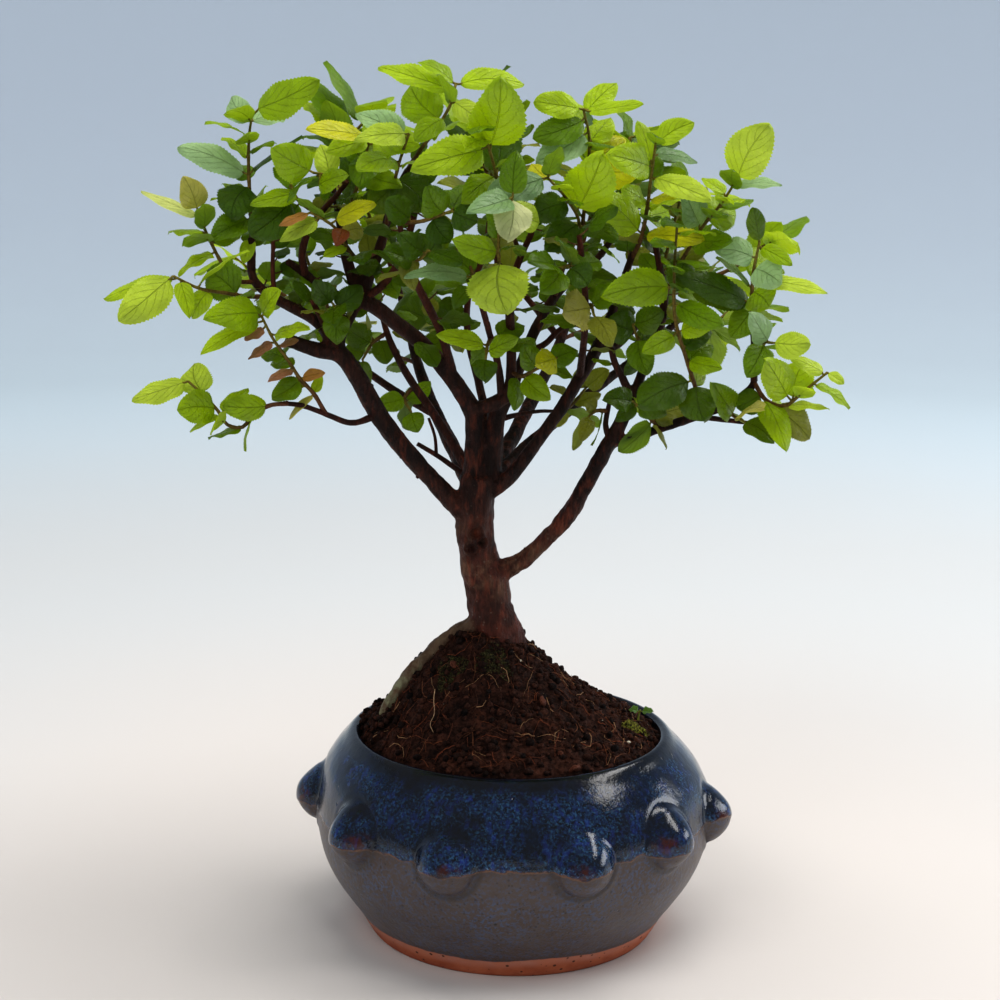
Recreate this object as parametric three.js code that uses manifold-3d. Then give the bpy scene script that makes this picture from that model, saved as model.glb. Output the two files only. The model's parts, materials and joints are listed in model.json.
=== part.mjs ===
// Sweet plum bonsai (Sageretia) in a round studded ceramic pot. Millimetres, +Z up, viewer at -Y,
// origin at the centre of the pot's flat foot.
import * as THREE from "three";
import { mergeVertices } from "three/addons/utils/BufferGeometryUtils.js";
import Module from "manifold-3d";

const wasm = await Module();
wasm.setup();

// Driving dimensions
const CLEARANCE = 0.3;
const ROOM = 0.45;
const SMOOTHING = 0.14;
const POT = {
  height: 65,
  footRadius: 46.3,
  bellyRadius: 62.8,
  openingRadius: 47.6,
  wall: 5.2,
  floor: 6,
  studRadius: 8.6,
  studCentreRadius: 61.4,
  facets: 32,
};
// Each stud is its turn from the front, in degrees, and the height of its middle
const STUDS = [
  [-90, 43], [-51, 43], [-18.5, 41.3], [19.5, 41.3], [49.5, 43.5], [81, 40.5], [119, 41.5], [157, 41], [195, 41.5],
  [232, 42.5],
];
const DRAIN = { radius: 5, offset: 17, meshSide: 18, meshThickness: 1, meshOpening: 3.2, meshPitch: 5, meshCount: 3 };
const SOIL = { rimHeight: 61.5, apexHeight: 99, apexX: -8.3, shoulder: 0.62, facets: 24 };
const LEAF = { thickness: 0.7, broadest: 0.45, usualShape: 0.62 };
const FILL = { count: 16, size: 12.5, step: 0.618 };
const SHOOT = { stemRadius: 0.75, petioleRadius: 0.45, sides: 4, snap: 1.2, clash: 3.1 };

// The growth is laid out in front view, as x, height and depth behind the trunk. Heights and widths are read in the
// trunk's own plane, from EYE, so a point with depth slides along its line of sight.
const EYE = new THREE.Vector3(-4, -672, 287);

function seen([x, z, depth]) {
  const reach = (depth - EYE.y) / -EYE.y;
  return new THREE.Vector3(EYE.x + (x - EYE.x) * reach, depth, EYE.z + (z - EYE.z) * reach);
}

// Wood: each branch is a list of [x, height, depth, radius]
const TRUNK = [
  [-3, 84, 0, 10.2], [-4, 95, 0, 8.6], [-6.6, 104, 0, 7.2], [-7.8, 111, 0, 6.8],
  [-10.2, 119, 0, 6.3], [-11.5, 127, 0, 6.1], [-11.7, 136, 0, 6.2], [-11, 147, 0, 5.4],
];
const LIMBS = [
  // two columns above the trunk, with the swollen collar that joins them
  [[-11.8, 143, 0, 4.2], [-12.2, 152, 0, 3.1], [-12.3, 161, -1, 2.9], [-12.5, 169, -1, 2.8]],
  [[-9, 143, 1, 4.2], [-6.8, 152, 1, 3.4], [-6, 161, 1, 3.1], [-5, 170, 1, 2.6]],
  [[-14.5, 168, -2, 2], [-10, 168.5, -3, 2.2], [-5, 170.5, -3, 2.4], [-0.5, 173.5, -3, 1.8]],
  // right low limb and its forks
  [
    [-7, 115, 0, 3.6], [-1, 117.5, 0, 3.2], [5, 121.3, -1, 2.8], [10, 126, -2, 2.7], [15, 131.8, -3, 2.7],
    [20, 139.5, -4, 2.6], [24.5, 148, -5, 2.6], [29, 156.5, -6, 2.6], [32.5, 163, -7, 2.3], [36.5, 172.5, -8, 1.9],
  ],
  [[36.5, 172, -8, 1.6], [39, 179, -8, 1.6], [41, 186, -9, 1.6], [44.5, 195, -10, 1.6], [45.5, 204, -11, 1.3],
    [44, 212, -12, 1.1], [42, 221, -13, 0.9]],
  [[31, 158.5, -6, 1.9], [36, 159, -8, 1.6], [45, 162.5, -11, 1.5], [54, 165.8, -14, 1.5], [60, 168, -16, 1.5],
    [66, 170.5, -18, 1.6], [71, 173.5, -19, 1.5], [74, 178, -20, 1.1], [73.5, 186, -20, 0.9], [73, 195, -20, 0.8]],
  // right middle limb
  [
    [-9, 141, -1, 3], [-3, 144.8, -1, 2.4], [0.5, 148.6, -1, 2.2], [5, 154.6, -1, 2.2], [10, 161.8, -1, 2.1],
    [15, 169.3, -1, 2.1], [20, 178, -1, 2], [24.5, 186, -1, 2], [27.5, 193, -2, 1.7], [30, 200, -4, 1.4],
    [33, 209, -7, 1.2], [35.5, 217, -10, 1],
  ],
  [[26, 188, -1, 1.7], [31, 188.8, 0, 1.7], [35, 192.5, 1, 1.4], [39, 197, 3, 1.1], [42, 204, 6, 0.9]],
  // dark branch behind, right of the middle
  [[-4.5, 166, 1, 2], [-1, 174, 3, 1.9], [2.5, 184, 5, 1.8], [7, 195, 7, 1.7], [12, 203.5, 9, 1.6],
    [18, 210, 11, 1.4], [24, 214.5, 13, 1.1], [29, 221, 14, 0.9]],
  // left low limb, its pruned end, riser and long arm
  [
    [-11, 133, 0, 4.6], [-17.5, 137.5, -1, 3.5], [-23, 143, -2, 3], [-28.5, 149, -3, 2.9], [-33.5, 154.5, -4, 2.9],
    [-38, 160, -5, 2.9], [-42.5, 166.5, -6, 3], [-46, 173, -7, 2.9], [-49.5, 179, -8, 2.9], [-54, 184.5, -9, 2.8],
    [-60, 185.6, -10, 2.4], [-65.5, 187.2, -11, 2.2], [-70.8, 189, -12, 2],
  ],
  [[-54.5, 185, -9, 2.2], [-53.8, 190, -8, 1.8], [-51, 195.5, -6, 1.6], [-48.5, 200.5, -4, 1.6]],
  [[-55.5, 185.5, -9, 2], [-58.5, 191.5, -9, 1.8], [-62.5, 195.5, -9, 1.8], [-69, 199, -9, 1.7],
    [-74.5, 202, -8, 1.6], [-79, 205.5, -7, 1.5], [-81, 210, -6, 1.4], [-80.8, 220, -5, 1.2]],
  // left middle limb and its fan
  [
    [-12.3, 166, -1, 2.9], [-15.5, 172, -2, 2.8], [-20, 178.3, -3, 2.7], [-25, 184.3, -4, 2.6], [-30, 189.3, -5, 2.5],
    [-36, 194, -5, 2.4], [-42, 198.6, -5, 2.4], [-47.5, 201.8, -4, 2.6],
  ],
  [[-47.5, 201.5, -4, 2], [-53, 202, -4, 1.6], [-58.5, 204.8, -4, 1.5], [-63, 208, -4, 1.4],
    [-66.5, 210.6, -3, 1.2], [-70, 213, -2, 1]],
  [[-47.5, 202, -4, 2.4], [-50, 208, -3, 2], [-52, 214.5, -2, 1.7], [-53.5, 222, -2, 1.3], [-55, 231, -1, 1],
    [-57, 240, 0, 0.8]],
  [[-47.5, 202, -4, 2.4], [-45, 209, -3, 2], [-42, 216.5, -3, 1.7], [-40, 224, -4, 1.3], [-37.5, 233, -6, 1.1],
    [-33.5, 241, -9, 0.9]],
  // limbs that leave the trunk to the back
  [[-10, 138, 4, 3.4], [-16, 150, 16, 2.6], [-24, 166, 30, 2.2], [-30, 182, 42, 1.8], [-34, 198, 52, 1.3],
    [-38, 212, 58, 0.9]],
  [[-8, 143, 4, 3.2], [-2, 156, 16, 2.6], [6, 172, 30, 2.2], [14, 190, 42, 1.7], [18, 206, 50, 1.2],
    [20, 220, 54, 0.9]],
  [[-6, 147, 4, 2.4], [8, 160, 14, 2], [24, 174, 24, 1.7], [40, 187, 32, 1.4], [52, 199, 38, 1], [58, 210, 42, 0.8]],
];
const TWIGS = [
  // leader and the brown twigs in front of it
  [[-2.5, 171, -3, 2], [-1.2, 178, -4, 1.7], [-1.2, 188, -6, 1.5], [-1.8, 199, -10, 1.4], [-1, 208, -12, 1.2],
    [1.5, 216, -13, 1], [4.5, 223, -14, 0.9], [5, 231, -15, 0.8]],
  [[-4, 172, -3, 1.3], [-5, 181, -7, 1.1], [-7.5, 190, -13, 1], [-9.8, 198, -19, 0.95], [-12.8, 207.5, -25, 0.9],
    [-15, 216, -29, 0.8]],
  [[-45.5, 202.5, -5, 1.3], [-41, 206, -8, 1.2], [-37, 211.5, -11, 1.1], [-34, 218.5, -13, 1.1],
    [-31.6, 226.5, -15, 1.05], [-30, 235.5, -17, 1]],
  // off the right limbs
  [[36.5, 172, -8, 1.4], [33.5, 178, -10, 1.2], [30.5, 184, -12, 1], [29, 191, -13, 0.8]],
  [[58, 166.5, -15, 0.9], [66, 165.6, -17, 0.8], [73, 164.8, -18, 0.6]],
  [[30.5, 158, -6, 1.2], [28.5, 163, -7, 0.9], [29, 168, -7, 0.8], [30, 173, -7, 0.6]],
  [[20, 178, -1, 1.3], [21, 188, -10, 1.1], [21.5, 199, -20, 1], [20.5, 211, -29, 0.9], [19, 222, -35, 0.8]],
  [[3.5, 186, 5, 1.1], [9, 188.5, 6, 1], [13, 192.5, 7, 0.9], [17, 195.5, 8, 0.7]],
  [[-4, 165, 2, 1], [2, 166.6, 4, 0.7], [8, 167.6, 6, 0.6], [14, 167.6, 8, 0.5]],
  // off the left limbs
  [[-57, 188, -9, 1.1], [-59.5, 195, -11, 1], [-62.5, 201, -13, 0.8]],
  [[-74, 202.5, -8, 0.8], [-74.5, 210, -7, 0.7], [-74.3, 219, -6, 0.6]],
  [[-43, 165.5, -7, 1.3], [-47.5, 163.6, -9, 1], [-51.5, 163.2, -11, 0.9], [-56, 164.8, -13, 0.9],
    [-61, 166.8, -15, 0.8], [-66, 168.4, -17, 0.8], [-71.5, 169, -19, 0.7]],
  [[-64.5, 209, -4, 1.2], [-65.5, 215, -5, 1.2], [-63.8, 221.5, -6, 1.1], [-60, 227.5, -8, 0.9],
    [-55.5, 232.5, -10, 0.8], [-51.5, 237.5, -12, 0.7]],
  [[-19, 178, -3, 1.6], [-20.5, 184, -6, 1.4], [-23, 192, -11, 1.3], [-27, 200, -17, 1.3], [-31, 208, -23, 1.1],
    [-34, 217, -28, 0.9], [-36, 226, -32, 0.8]],
  // between and behind
  [[-14, 149, 3, 1.8], [-20.5, 159.5, 6, 1.5], [-26, 168, 9, 1.3], [-31, 175, 12, 1.3], [-35.5, 182.5, 15, 1.2],
    [-39.5, 191.5, 18, 1], [-42, 201, 20, 0.8]],
  [[-14, 146.5, 4, 1.1], [-18.5, 149.5, 5, 0.9], [-24, 153.3, 6, 0.8], [-30, 156.8, 7, 0.7]],
  [[-24, 153, 6, 0.6], [-24.5, 159, 7, 0.5], [-26.5, 165, 8, 0.45]],
  [[-7, 158, 4, 1.6], [-11, 176, 14, 1.3], [-14.5, 190, 20, 1.1], [-14.5, 203, 24, 1], [-10, 216, 27, 0.9],
    [-8, 230, 28, 0.8]],
  [[-24, 166, 30, 1.6], [-38, 174, 36, 1.3], [-54, 186, 40, 1.1], [-66, 200, 42, 0.8]],
  [[14, 190, 42, 1.2], [4, 202, 54, 1], [-6, 214, 62, 0.8]],
];
const EXPOSED_ROOT = [
  [-8, 100, -1, 4.2], [-14, 97.5, -2, 2.9], [-20, 93.6, -3, 2.6], [-25, 89.4, -4, 2.4], [-29.5, 84.6, -5, 2.5],
  [-33, 80, -6, 2.3], [-36.5, 75, -7, 2.2], [-40, 69, -8, 1.9], [-41, 62, -9, 1.4],
];
const BURIED_ROOTS = [
  [[-3, 88, 0, 9.6], [-2, 76, 1, 7.5], [-2, 62, 2, 5], [-4, 46, 3, 3]],
  [[0, 88, 0, 5], [12, 72, -6, 3.6], [24, 56, -12, 2.4], [32, 38, -16, 1.4]],
  [[-4, 84, 2, 5], [-12, 70, 14, 3.4], [-20, 54, 24, 2.2], [-26, 36, 30, 1.4]],
  [[-2, 84, 2, 4.6], [8, 70, 14, 3.2], [16, 52, 26, 2], [20, 34, 32, 1.4]],
  [[-4, 84, -3, 4.6], [-10, 68, -14, 3.2], [-16, 50, -24, 2], [-20, 34, -30, 1.4]],
];

// Shoots: stem points as [x, height, depth], then leaves as [base x, base height, tip x, tip height, lean of the
// tip away from the viewer, width, how squarely it faces the viewer]. A shoot with a leaf count grows them by rule.
const SHOOTS = [
  // left side, from the top down
  {
    stem: [[-80.8, 218, -5], [-81, 228, -5], [-81.5, 240, -6], [-81.3, 250, -7], [-80.3, 257, -8]],
    leaves: [
      [-80, 258, -61, 268, -7, 12, 0.7], [-81, 255, -87, 263, 6, 8, 0.7], [-81, 255, -70, 259, 6, 8, 0.6],
      [-81.5, 239, -102, 248.5, -4, 10, 0.55], [-81.5, 240, -66, 252, -5, 9, 0.3], [-81.5, 244, -89, 251, 8, 7, 0.2],
      [-81.3, 236, -87, 227, -9, 13, 0.85], [-81, 226, -93, 220.5, -8, 10, 0.75], [-80.8, 220, -83.5, 212.5, -4, 5, 0.4],
    ],
  },
  {
    stem: [[-80.5, 206.5, -7], [-86, 207, -10], [-90, 212, -11], [-94, 220, -12], [-97, 227, -13]],
    leaves: [
      [-97, 228, -101, 238, -4, 9, 0.95], [-96.5, 226, -114, 234.5, -5, 6, 0.4], [-92, 215.5, -104, 210, -6, 7, 0.35],
      [-93, 218, -84, 226, 8, 8, 0.6],
    ],
  },
  {
    stem: [[-75, 202.3, -8], [-82, 202, -13], [-89, 203, -16], [-97, 204.3, -18], [-105, 208, -20]],
    leaves: [
      [-105, 208, -121, 195, -13, 12, 0.85], [-104, 207.5, -127, 201.5, 4, 8, 0.5],
      [-103, 207, -99.8, 195.5, -4, 6, 0.5], [-94, 204, -100, 195, -8, 7.5, 0.55],
      [-99, 205, -90, 199, 6, 7, 0.3], [-98, 205, -83, 218, -9, 7, 0.2], [-85, 202.5, -95, 210, -9, 13, 0.9],
    ],
  },
  {
    stem: [[-58.5, 166, -14], [-62, 172, -15], [-66.5, 177, -16], [-70, 182.5, -16], [-74.5, 189, -17], [-78, 196, -18]],
    leaves: [
      [-66, 176.5, -75, 171, -5, 8, 0.75], [-66, 177, -59, 179, -3, 4.5, 0.6], [-68.5, 180, -76, 177, -3, 4.5, 0.5],
      [-74.5, 188.5, -82.5, 183, -3, 4.5, 0.4], [-73, 187, -67, 189, -3, 3.6, 0.5], [-75, 190, -64, 193.5, -4, 7, 0.55],
      [-77, 192.5, -83.5, 189, -3, 4.5, 0.6], [-78, 195, -97, 185.5, -8, 7.5, 0.55],
      [-78, 197, -92.5, 197, -11, 12, 0.9], [-78, 196, -74, 204, -6, 9, 0.6],
      [-62, 172, -70.5, 165, -3, 3.6, 0.4], [-62, 172, -60, 179, 3, 3.6, 0.5],
    ],
  },
  {
    stem: [[-70, 169, -19], [-76, 168.2, -20], [-81, 165, -21], [-84.3, 161.3, -22], [-89, 162, -23],
      [-92, 166.5, -24], [-96, 171, -25], [-101, 175.5, -26]],
    leaves: [
      [-75.5, 168, -89.5, 168, -7, 8.5, 0.9], [-77, 167.5, -82, 164, -5, 6, 0.6], [-101, 175.5, -118.5, 170, -7, 8.5, 0.6],
      [-96.5, 171.5, -99.5, 181.5, 5, 11, 0.85], [-92, 167, -103.5, 166.5, -9, 11, 0.9],
      [-91, 165.5, -82.5, 174.5, 4, 6, 0.6], [-91, 165, -101.5, 160.5, 2, 4, 0.5],
    ],
  },
  // upper left of the crown
  {
    stem: [[-60, 227.5, -8], [-66, 231, -14], [-69, 236, -17]],
    leaves: [
      [-66, 234, -81, 231.5, -8, 8, 0.6], [-68, 232, -81, 221, -12, 13, 0.85], [-66, 231, -75, 220, -2, 9, 0.6],
      [-68, 235, -71.5, 243, 6, 9, 0.7],
    ],
  },
  {
    stem: [[-52, 237, -12], [-57, 239, -18], [-62, 240, -22]],
    leaves: [
      [-62, 240, -74, 247, -5, 12, 0.85], [-60, 239, -69, 230.5, -9, 9, 0.8], [-61, 236, -53, 240, -10, 8, 0.75],
      [-57, 239, -60, 249, 4, 8, 0.6], [-60, 240, -64, 251, 8, 10, 0.7],
    ],
  },
  {
    stem: [[-42, 216.5, -3], [-48, 214, -12], [-52, 218, -18], [-55, 223, -22], [-59, 226, -25], [-63, 228, -27]],
    leaves: [
      [-63, 228, -72.5, 224.5, -4, 4, 0.4], [-60, 226, -73, 220, -5, 6.5, 0.6], [-56, 225.5, -44, 231.5, -7, 8, 0.65],
      [-53, 223.5, -55, 218.5, -7, 5.5, 0.8], [-53, 222, -46, 223.5, -6, 7, 0.85], [-51.5, 218, -59, 215, -5, 4.5, 0.5],
    ],
  },
  {
    stem: [[-53.5, 222, -2], [-50, 232, -10], [-47, 241, -15], [-45, 250, -18]],
    leaves: [
      [-45, 250, -58, 247, -5, 9, 0.5], [-45, 251, -63, 254, -7, 8, 0.6], [-46, 246, -48, 237, -11, 9, 0.7],
      [-45, 249, -31, 250, -10, 11, 0.65], [-47, 240, -36, 237.5, -9, 9, 0.8], [-45, 250, -40, 261, 5, 9, 0.7],
    ],
  },
  {
    stem: [[-40, 224, -4], [-38, 234, -16], [-36, 243, -24], [-33, 252, -29]],
    leaves: [
      [-33, 252, -49, 251.5, -8, 10, 0.65], [-34, 251, -49, 259.5, 5, 10, 0.6], [-37, 239, -27, 229, -10, 13, 0.9],
      [-38, 236, -46, 228, -8, 10, 0.75], [-36, 244, -47, 243, -8, 10, 0.7], [-37, 240, -38, 227, -3, 10, 0.85],
    ],
  },
  // top of the crown
  {
    stem: [[-33.5, 241, -9], [-29, 248, -22], [-24.5, 254, -30], [-20.5, 261, -34], [-19, 267, -34]],
    leaves: [
      [-28, 249, -35.5, 260, -7, 14, 0.85], [-24, 256, -33, 267, 8, 13, 0.8], [-22, 257, -30.5, 251.5, -9, 7, 0.7],
      [-19.5, 265, -42, 273.5, 3, 9, 0.6], [-19, 267, -29.5, 274.3, 9, 7, 0.5], [-19, 267, 2, 269, 6, 9, 0.55],
      [-20, 262, -11.5, 256.5, -6, 7.5, 0.75], [-20.5, 261, -23, 271, -4, 6, 0.6],
    ],
  },
  {
    stem: [[1.5, 216, -13], [-4, 228, -24], [-6, 238, -32], [-8.5, 247, -38], [-11, 254, -42]],
    leaves: [
      [-8.5, 247.5, -5.5, 267.5, -6, 17, 0.95], [-9, 248, -31.5, 243, -11, 13, 0.8], [-10.5, 252, -24, 258, -9, 11, 0.75],
      [-6, 240, -4, 262, 10, 13, 0.85], [-6.5, 240, -16, 233, -10, 9, 0.7],
    ],
  },
  {
    stem: [[-1.8, 199, -10], [-4, 206, -26], [-5.3, 213.5, -40], [-5.2, 225, -46], [-1.5, 233.5, -48]],
    leaves: [
      [-5.3, 214, -3.2, 199.5, -10, 19, 0.97], [-5, 216.5, -19, 220.5, -8, 9, 0.8], [-1.5, 233.5, -2.8, 221, -8, 11.5, 0.95],
      [-1.5, 233, -13.5, 231, -10, 9, 0.75], [-3, 230, 8, 226, 8, 9, 0.7],
    ],
  },
  {
    stem: [[12, 203.5, 9], [15, 214, -8], [19, 225, -22], [15, 233, -28], [9, 239.5, -32]],
    leaves: [
      [9, 239.5, -8, 236, -9, 10, 0.75], [9, 239, 4, 244, -5, 7, 0.7], [10, 238, 1, 233, -9, 8, 0.65],
      [16, 232, 5, 228, -3, 10, 0.7], [18, 229, 25.5, 246, -10, 16, 0.95], [19, 226, 9, 218, -8, 11, 0.8],
      [19, 225, 30, 222.5, -8, 8, 0.6],
    ],
  },
  {
    stem: [[18, 210, 11], [20, 226, 0], [21, 240, -8], [21.5, 251, -13], [19.5, 260, -17]],
    leaves: [
      [21, 253, 6, 245.5, -9, 11, 0.7], [20.5, 257, 5, 252, -4, 10, 0.7], [19.5, 260, 5, 262.5, 3, 9, 0.7],
      [19.5, 260, -2.5, 273.5, 3, 10, 0.75], [20, 259, 29.5, 268.5, 7, 8, 0.75], [20, 259, 37, 262.5, -5, 6, 0.55],
      [21.5, 250, 27.5, 259, 8, 9, 0.6], [21, 244, 33, 251.5, 4, 11, 0.75], [21, 242, 36, 242, -6, 12, 0.8],
    ],
  },
  // upper right of the crown
  {
    stem: [[35, 215, -9], [38, 222, -16], [39.5, 231, -20], [40.5, 241, -23], [41.5, 250, -25]],
    leaves: [
      [38, 222.5, 56.5, 222.5, -10, 8, 0.7], [38, 223, 25, 234, -11, 12, 0.85], [40, 233, 48, 236, -8, 5, 0.6],
      [39.5, 232, 33, 237, -8, 7, 0.65], [40.5, 240, 57, 236.5, -8, 9, 0.6], [40.5, 242, 51.5, 243, -8, 14, 0.85],
      [41.5, 250, 53, 257, 2, 8, 0.6], [41, 247, 55, 246, 8, 7, 0.5], [40.5, 244, 36.5, 257, 4, 6, 0.6],
      [40.5, 243, 30, 247, -8, 11, 0.85], [39, 228, 47, 231, 8, 10, 0.7],
    ],
  },
  {
    stem: [[45.5, 204, -11], [50, 214, -17], [56, 224.5, -22], [62, 232.5, -25], [66, 239, -27]],
    leaves: [
      [66, 239, 75.5, 256, -7, 14, 0.95], [65.5, 238, 80, 239, -3, 5, 0.5], [63.5, 235, 56, 240.5, 3, 6, 0.45],
      [58, 227, 67, 232, 8, 12, 0.9], [56, 225, 51, 236, -6, 10, 0.85], [55, 223, 49, 228.5, -10, 6, 0.6],
      [57, 225, 59, 236, -9, 9, 0.7], [54, 221, 65, 222, -9, 10, 0.7], [51, 216, 49, 206, -6, 9, 0.7],
    ],
  },
  // right side, from the top down
  {
    stem: [[73, 194, -20], [72.3, 203, -24], [72.5, 212, -27], [74, 221, -29]],
    leaves: [
      [74, 220.5, 72, 231, -4, 6, 0.6], [74, 219.5, 84, 215, -6, 6, 0.7], [73, 216, 61, 219, -8, 10, 0.7],
      [72.5, 213, 80.5, 209, -11, 11, 0.8], [72.5, 209, 95, 208, -8, 7, 0.55], [72.3, 202, 50, 211, -9, 10, 0.7],
      [72.3, 206, 78, 201, -9, 12, 0.8], [72.3, 202, 54, 206, -2, 10, 0.6], [72.5, 200, 66, 191.5, -9, 9, 0.7],
      [74, 218, 66, 227, 6, 9, 0.7],
    ],
  },
  {
    stem: [[73.5, 187, -20], [76, 190, -26], [79, 190, -32]],
    leaves: [
      [79, 190, 90, 190.5, -6, 9, 0.7], [78, 190, 73, 199, -5, 9, 0.7], [77, 190, 72, 180, -8, 9, 0.8],
      [78.5, 189.5, 83, 182, -6, 9, 0.7],
    ],
  },
  {
    stem: [[74, 177.5, -20], [78, 172, -24], [84, 170.5, -28], [90, 175.5, -31], [96.5, 181, -33]],
    leaves: [
      [96, 180.5, 85, 186.5, -6, 6, 0.5], [96.5, 181, 102, 178, -2, 4, 0.5], [85, 172.5, 78, 184, -5, 11, 0.85],
      [86, 172.5, 90, 185.5, -4, 12, 0.85], [84, 170.5, 97.5, 170.5, -5, 5, 0.45], [80, 170.5, 92.5, 160, -8, 10, 0.9],
      [77, 173, 85, 158, -12, 9, 0.85], [76.5, 174, 69, 170, -10, 9, 0.8], [80, 171, 86, 165.5, 5, 9, 0.7],
    ],
  },
  {
    stem: [[65, 170, -18], [68, 167, -22], [71, 165.5, -25]],
    leaves: [[71, 165.5, 81, 159.5, -6, 8, 0.65], [68, 167, 63, 176, -8, 9, 0.8], [69, 166.5, 76, 171, -8, 8, 0.7]],
  },
  {
    stem: [[60, 168, -16], [57, 173, -22], [54.8, 179, -26], [52, 187, -28], [49, 197, -30], [48.3, 210, -32], [48.7, 226, -34]],
    leaves: [
      [56, 177, 59, 165.5, -10, 12, 0.95], [55, 178, 39.5, 171, -8, 12, 0.9], [53, 184, 63, 182.5, -9, 6, 0.7],
      [49.5, 192, 40, 187, -8, 7, 0.85], [50, 193, 62, 197, -9, 8, 0.7], [48.5, 202, 63, 196, -10, 8, 0.75],
      [48.3, 207, 27, 203.5, -9, 12, 0.9], [48.5, 206, 54, 198, 6, 9, 0.6], [53, 184, 61, 190, 6, 9, 0.7],
    ],
  },
  {
    stem: [[45.5, 162.7, -11], [41, 167, -15], [37, 171, -18]],
    leaves: [[38, 170, 46.5, 167.5, -6, 8, 0.85], [37, 171, 28.5, 172, -7, 8, 0.9], [38, 170, 31, 165, 2, 6, 0.7]],
  },
  {
    stem: [[41, 186, -9], [38, 190, -15], [36, 195, -19]],
    leaves: [
      [37, 193, 29, 196, -6, 11, 0.9], [37.5, 191, 41, 180, -6, 9, 0.8], [36, 195, 44, 199, -5, 9, 0.8],
      [38, 190, 45, 192, -3, 8, 0.7],
    ],
  },
  {
    stem: [[29, 168, -7], [25.5, 168, -9], [23, 166, -11]],
    leaves: [[25.5, 168, 22.5, 170.5, -2, 5, 0.95], [23.5, 166.5, 21.5, 160.5, -2, 5, 0.95]],
  },
  // middle of the crown, in front
  {
    stem: [[-15, 215, -29], [-13, 209, -36], [-12, 204, -40]],
    leaves: [[-13.5, 209, -33, 211, -9, 7, 0.6], [-12.5, 206, -24, 203, -4, 10, 0.85], [-13, 210, -22, 216, -5, 9, 0.7]],
  },
  {
    stem: [[-7.5, 190, -13], [-8.5, 188, -20], [-9, 184, -25]],
    leaves: [
      [-8.5, 188, -23.5, 191.5, -8, 6.5, 0.7], [-8.8, 187, -15, 182, -6, 6, 0.75], [-9, 184, -9, 177, -5, 8, 0.9],
      [-8.8, 186, 0, 190.5, -7, 7, 0.7], [-9, 184, -15, 174, -4, 6, 0.7],
    ],
  },
  {
    stem: [[-1.2, 180, -4], [2, 178.5, -10], [7, 181, -14], [13, 184.5, -17]],
    leaves: [
      [2.5, 178.5, 10.5, 172, -7, 8, 0.85], [13, 184.5, 8, 183, -9, 9, 0.85], [11, 183.5, 19.5, 187, -6, 8, 0.8],
      [7, 181, 3, 188, -6, 8, 0.7], [9, 182, 17, 178, -2, 8, 0.7],
    ],
  },
  {
    stem: [[21.5, 199, -20], [23, 201, -27], [24, 198, -32]],
    leaves: [
      [23.5, 200, 16, 199, -8, 13, 0.95], [24, 198, 16, 189.5, -6, 12, 0.85], [23, 201, 31, 206, -4, 8, 0.7],
      [24, 198, 29, 190, -3, 8, 0.7],
    ],
  },
  {
    stem: [[20.5, 212, -29], [17, 213, -36], [13, 212, -41]],
    leaves: [
      [14, 212, 8, 205, -8, 9, 0.75], [16, 212.5, 22, 207, -6, 9, 0.8], [13, 212, 6, 216, -5, 9, 0.7],
      [18, 213, 26, 215, -4, 8, 0.7],
    ],
  },
  {
    stem: [[-34, 216, -28], [-30, 214, -35], [-27, 217, -40]],
    leaves: [
      [-30, 214, -24, 221, -6, 9, 0.8], [-28, 216, -35, 222, -5, 9, 0.7], [-31, 214, -40, 217, -6, 9, 0.75],
      [-29, 215, -21, 212, -3, 8, 0.7],
    ],
  },
  {
    stem: [[-36, 225, -32], [-28, 226, -38], [-20, 229, -42]],
    leaves: [
      [-20, 229, -12, 226, -5, 9, 0.8], [-22, 228, -27, 236, -5, 10, 0.8], [-26, 227, -20, 220, -6, 9, 0.8],
      [-32, 226, -39, 232, -6, 9, 0.75], [-20, 229, -14, 238, 5, 10, 0.75],
    ],
  },
  // leaves hung between the limbs
  {
    stem: [[-51, 195.5, -6], [-54, 197, -13], [-56, 200, -17]],
    leaves: [[-54.5, 197.5, -55, 188, -4, 8.5, 0.95], [-56, 200, -61.5, 207, -4, 8, 0.9], [-55.5, 199, -47, 206, -5, 8, 0.8]],
  },
  {
    stem: [[-39.5, 191.5, 18], [-44, 188, 20], [-47, 183, 20]],
    leaves: [
      [-44, 188, -52, 193, -3, 9, 0.8], [-46, 185, -54, 186, 4, 8, 0.7], [-47, 183, -45.5, 173.5, 3, 6, 0.8],
      [-42, 189.5, -39.5, 182, -4, 8, 0.8],
    ],
  },
  {
    stem: [[-31, 175, 12], [-34, 171, 13], [-32, 167, 12]],
    leaves: [[-33.5, 171, -42.5, 169, -5, 7, 0.8], [-32, 167, -30, 161, -4, 7.5, 0.95], [-33.5, 170, -26, 177, 4, 7, 0.8]],
  },
  {
    stem: [[-14.5, 190, 20], [-20, 191, 24], [-26, 195, 26]],
    leaves: [
      [-20, 191, -29, 186, -5, 10, 0.8], [-26, 195, -36, 199, -4, 12, 0.85], [-22, 192, -20, 203, 2, 11, 0.8],
      [-24, 194, -31, 207, 4, 10, 0.8],
    ],
  },
  {
    stem: [[14, 167.6, 8], [18, 170, 10], [22, 175, 12]],
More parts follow.
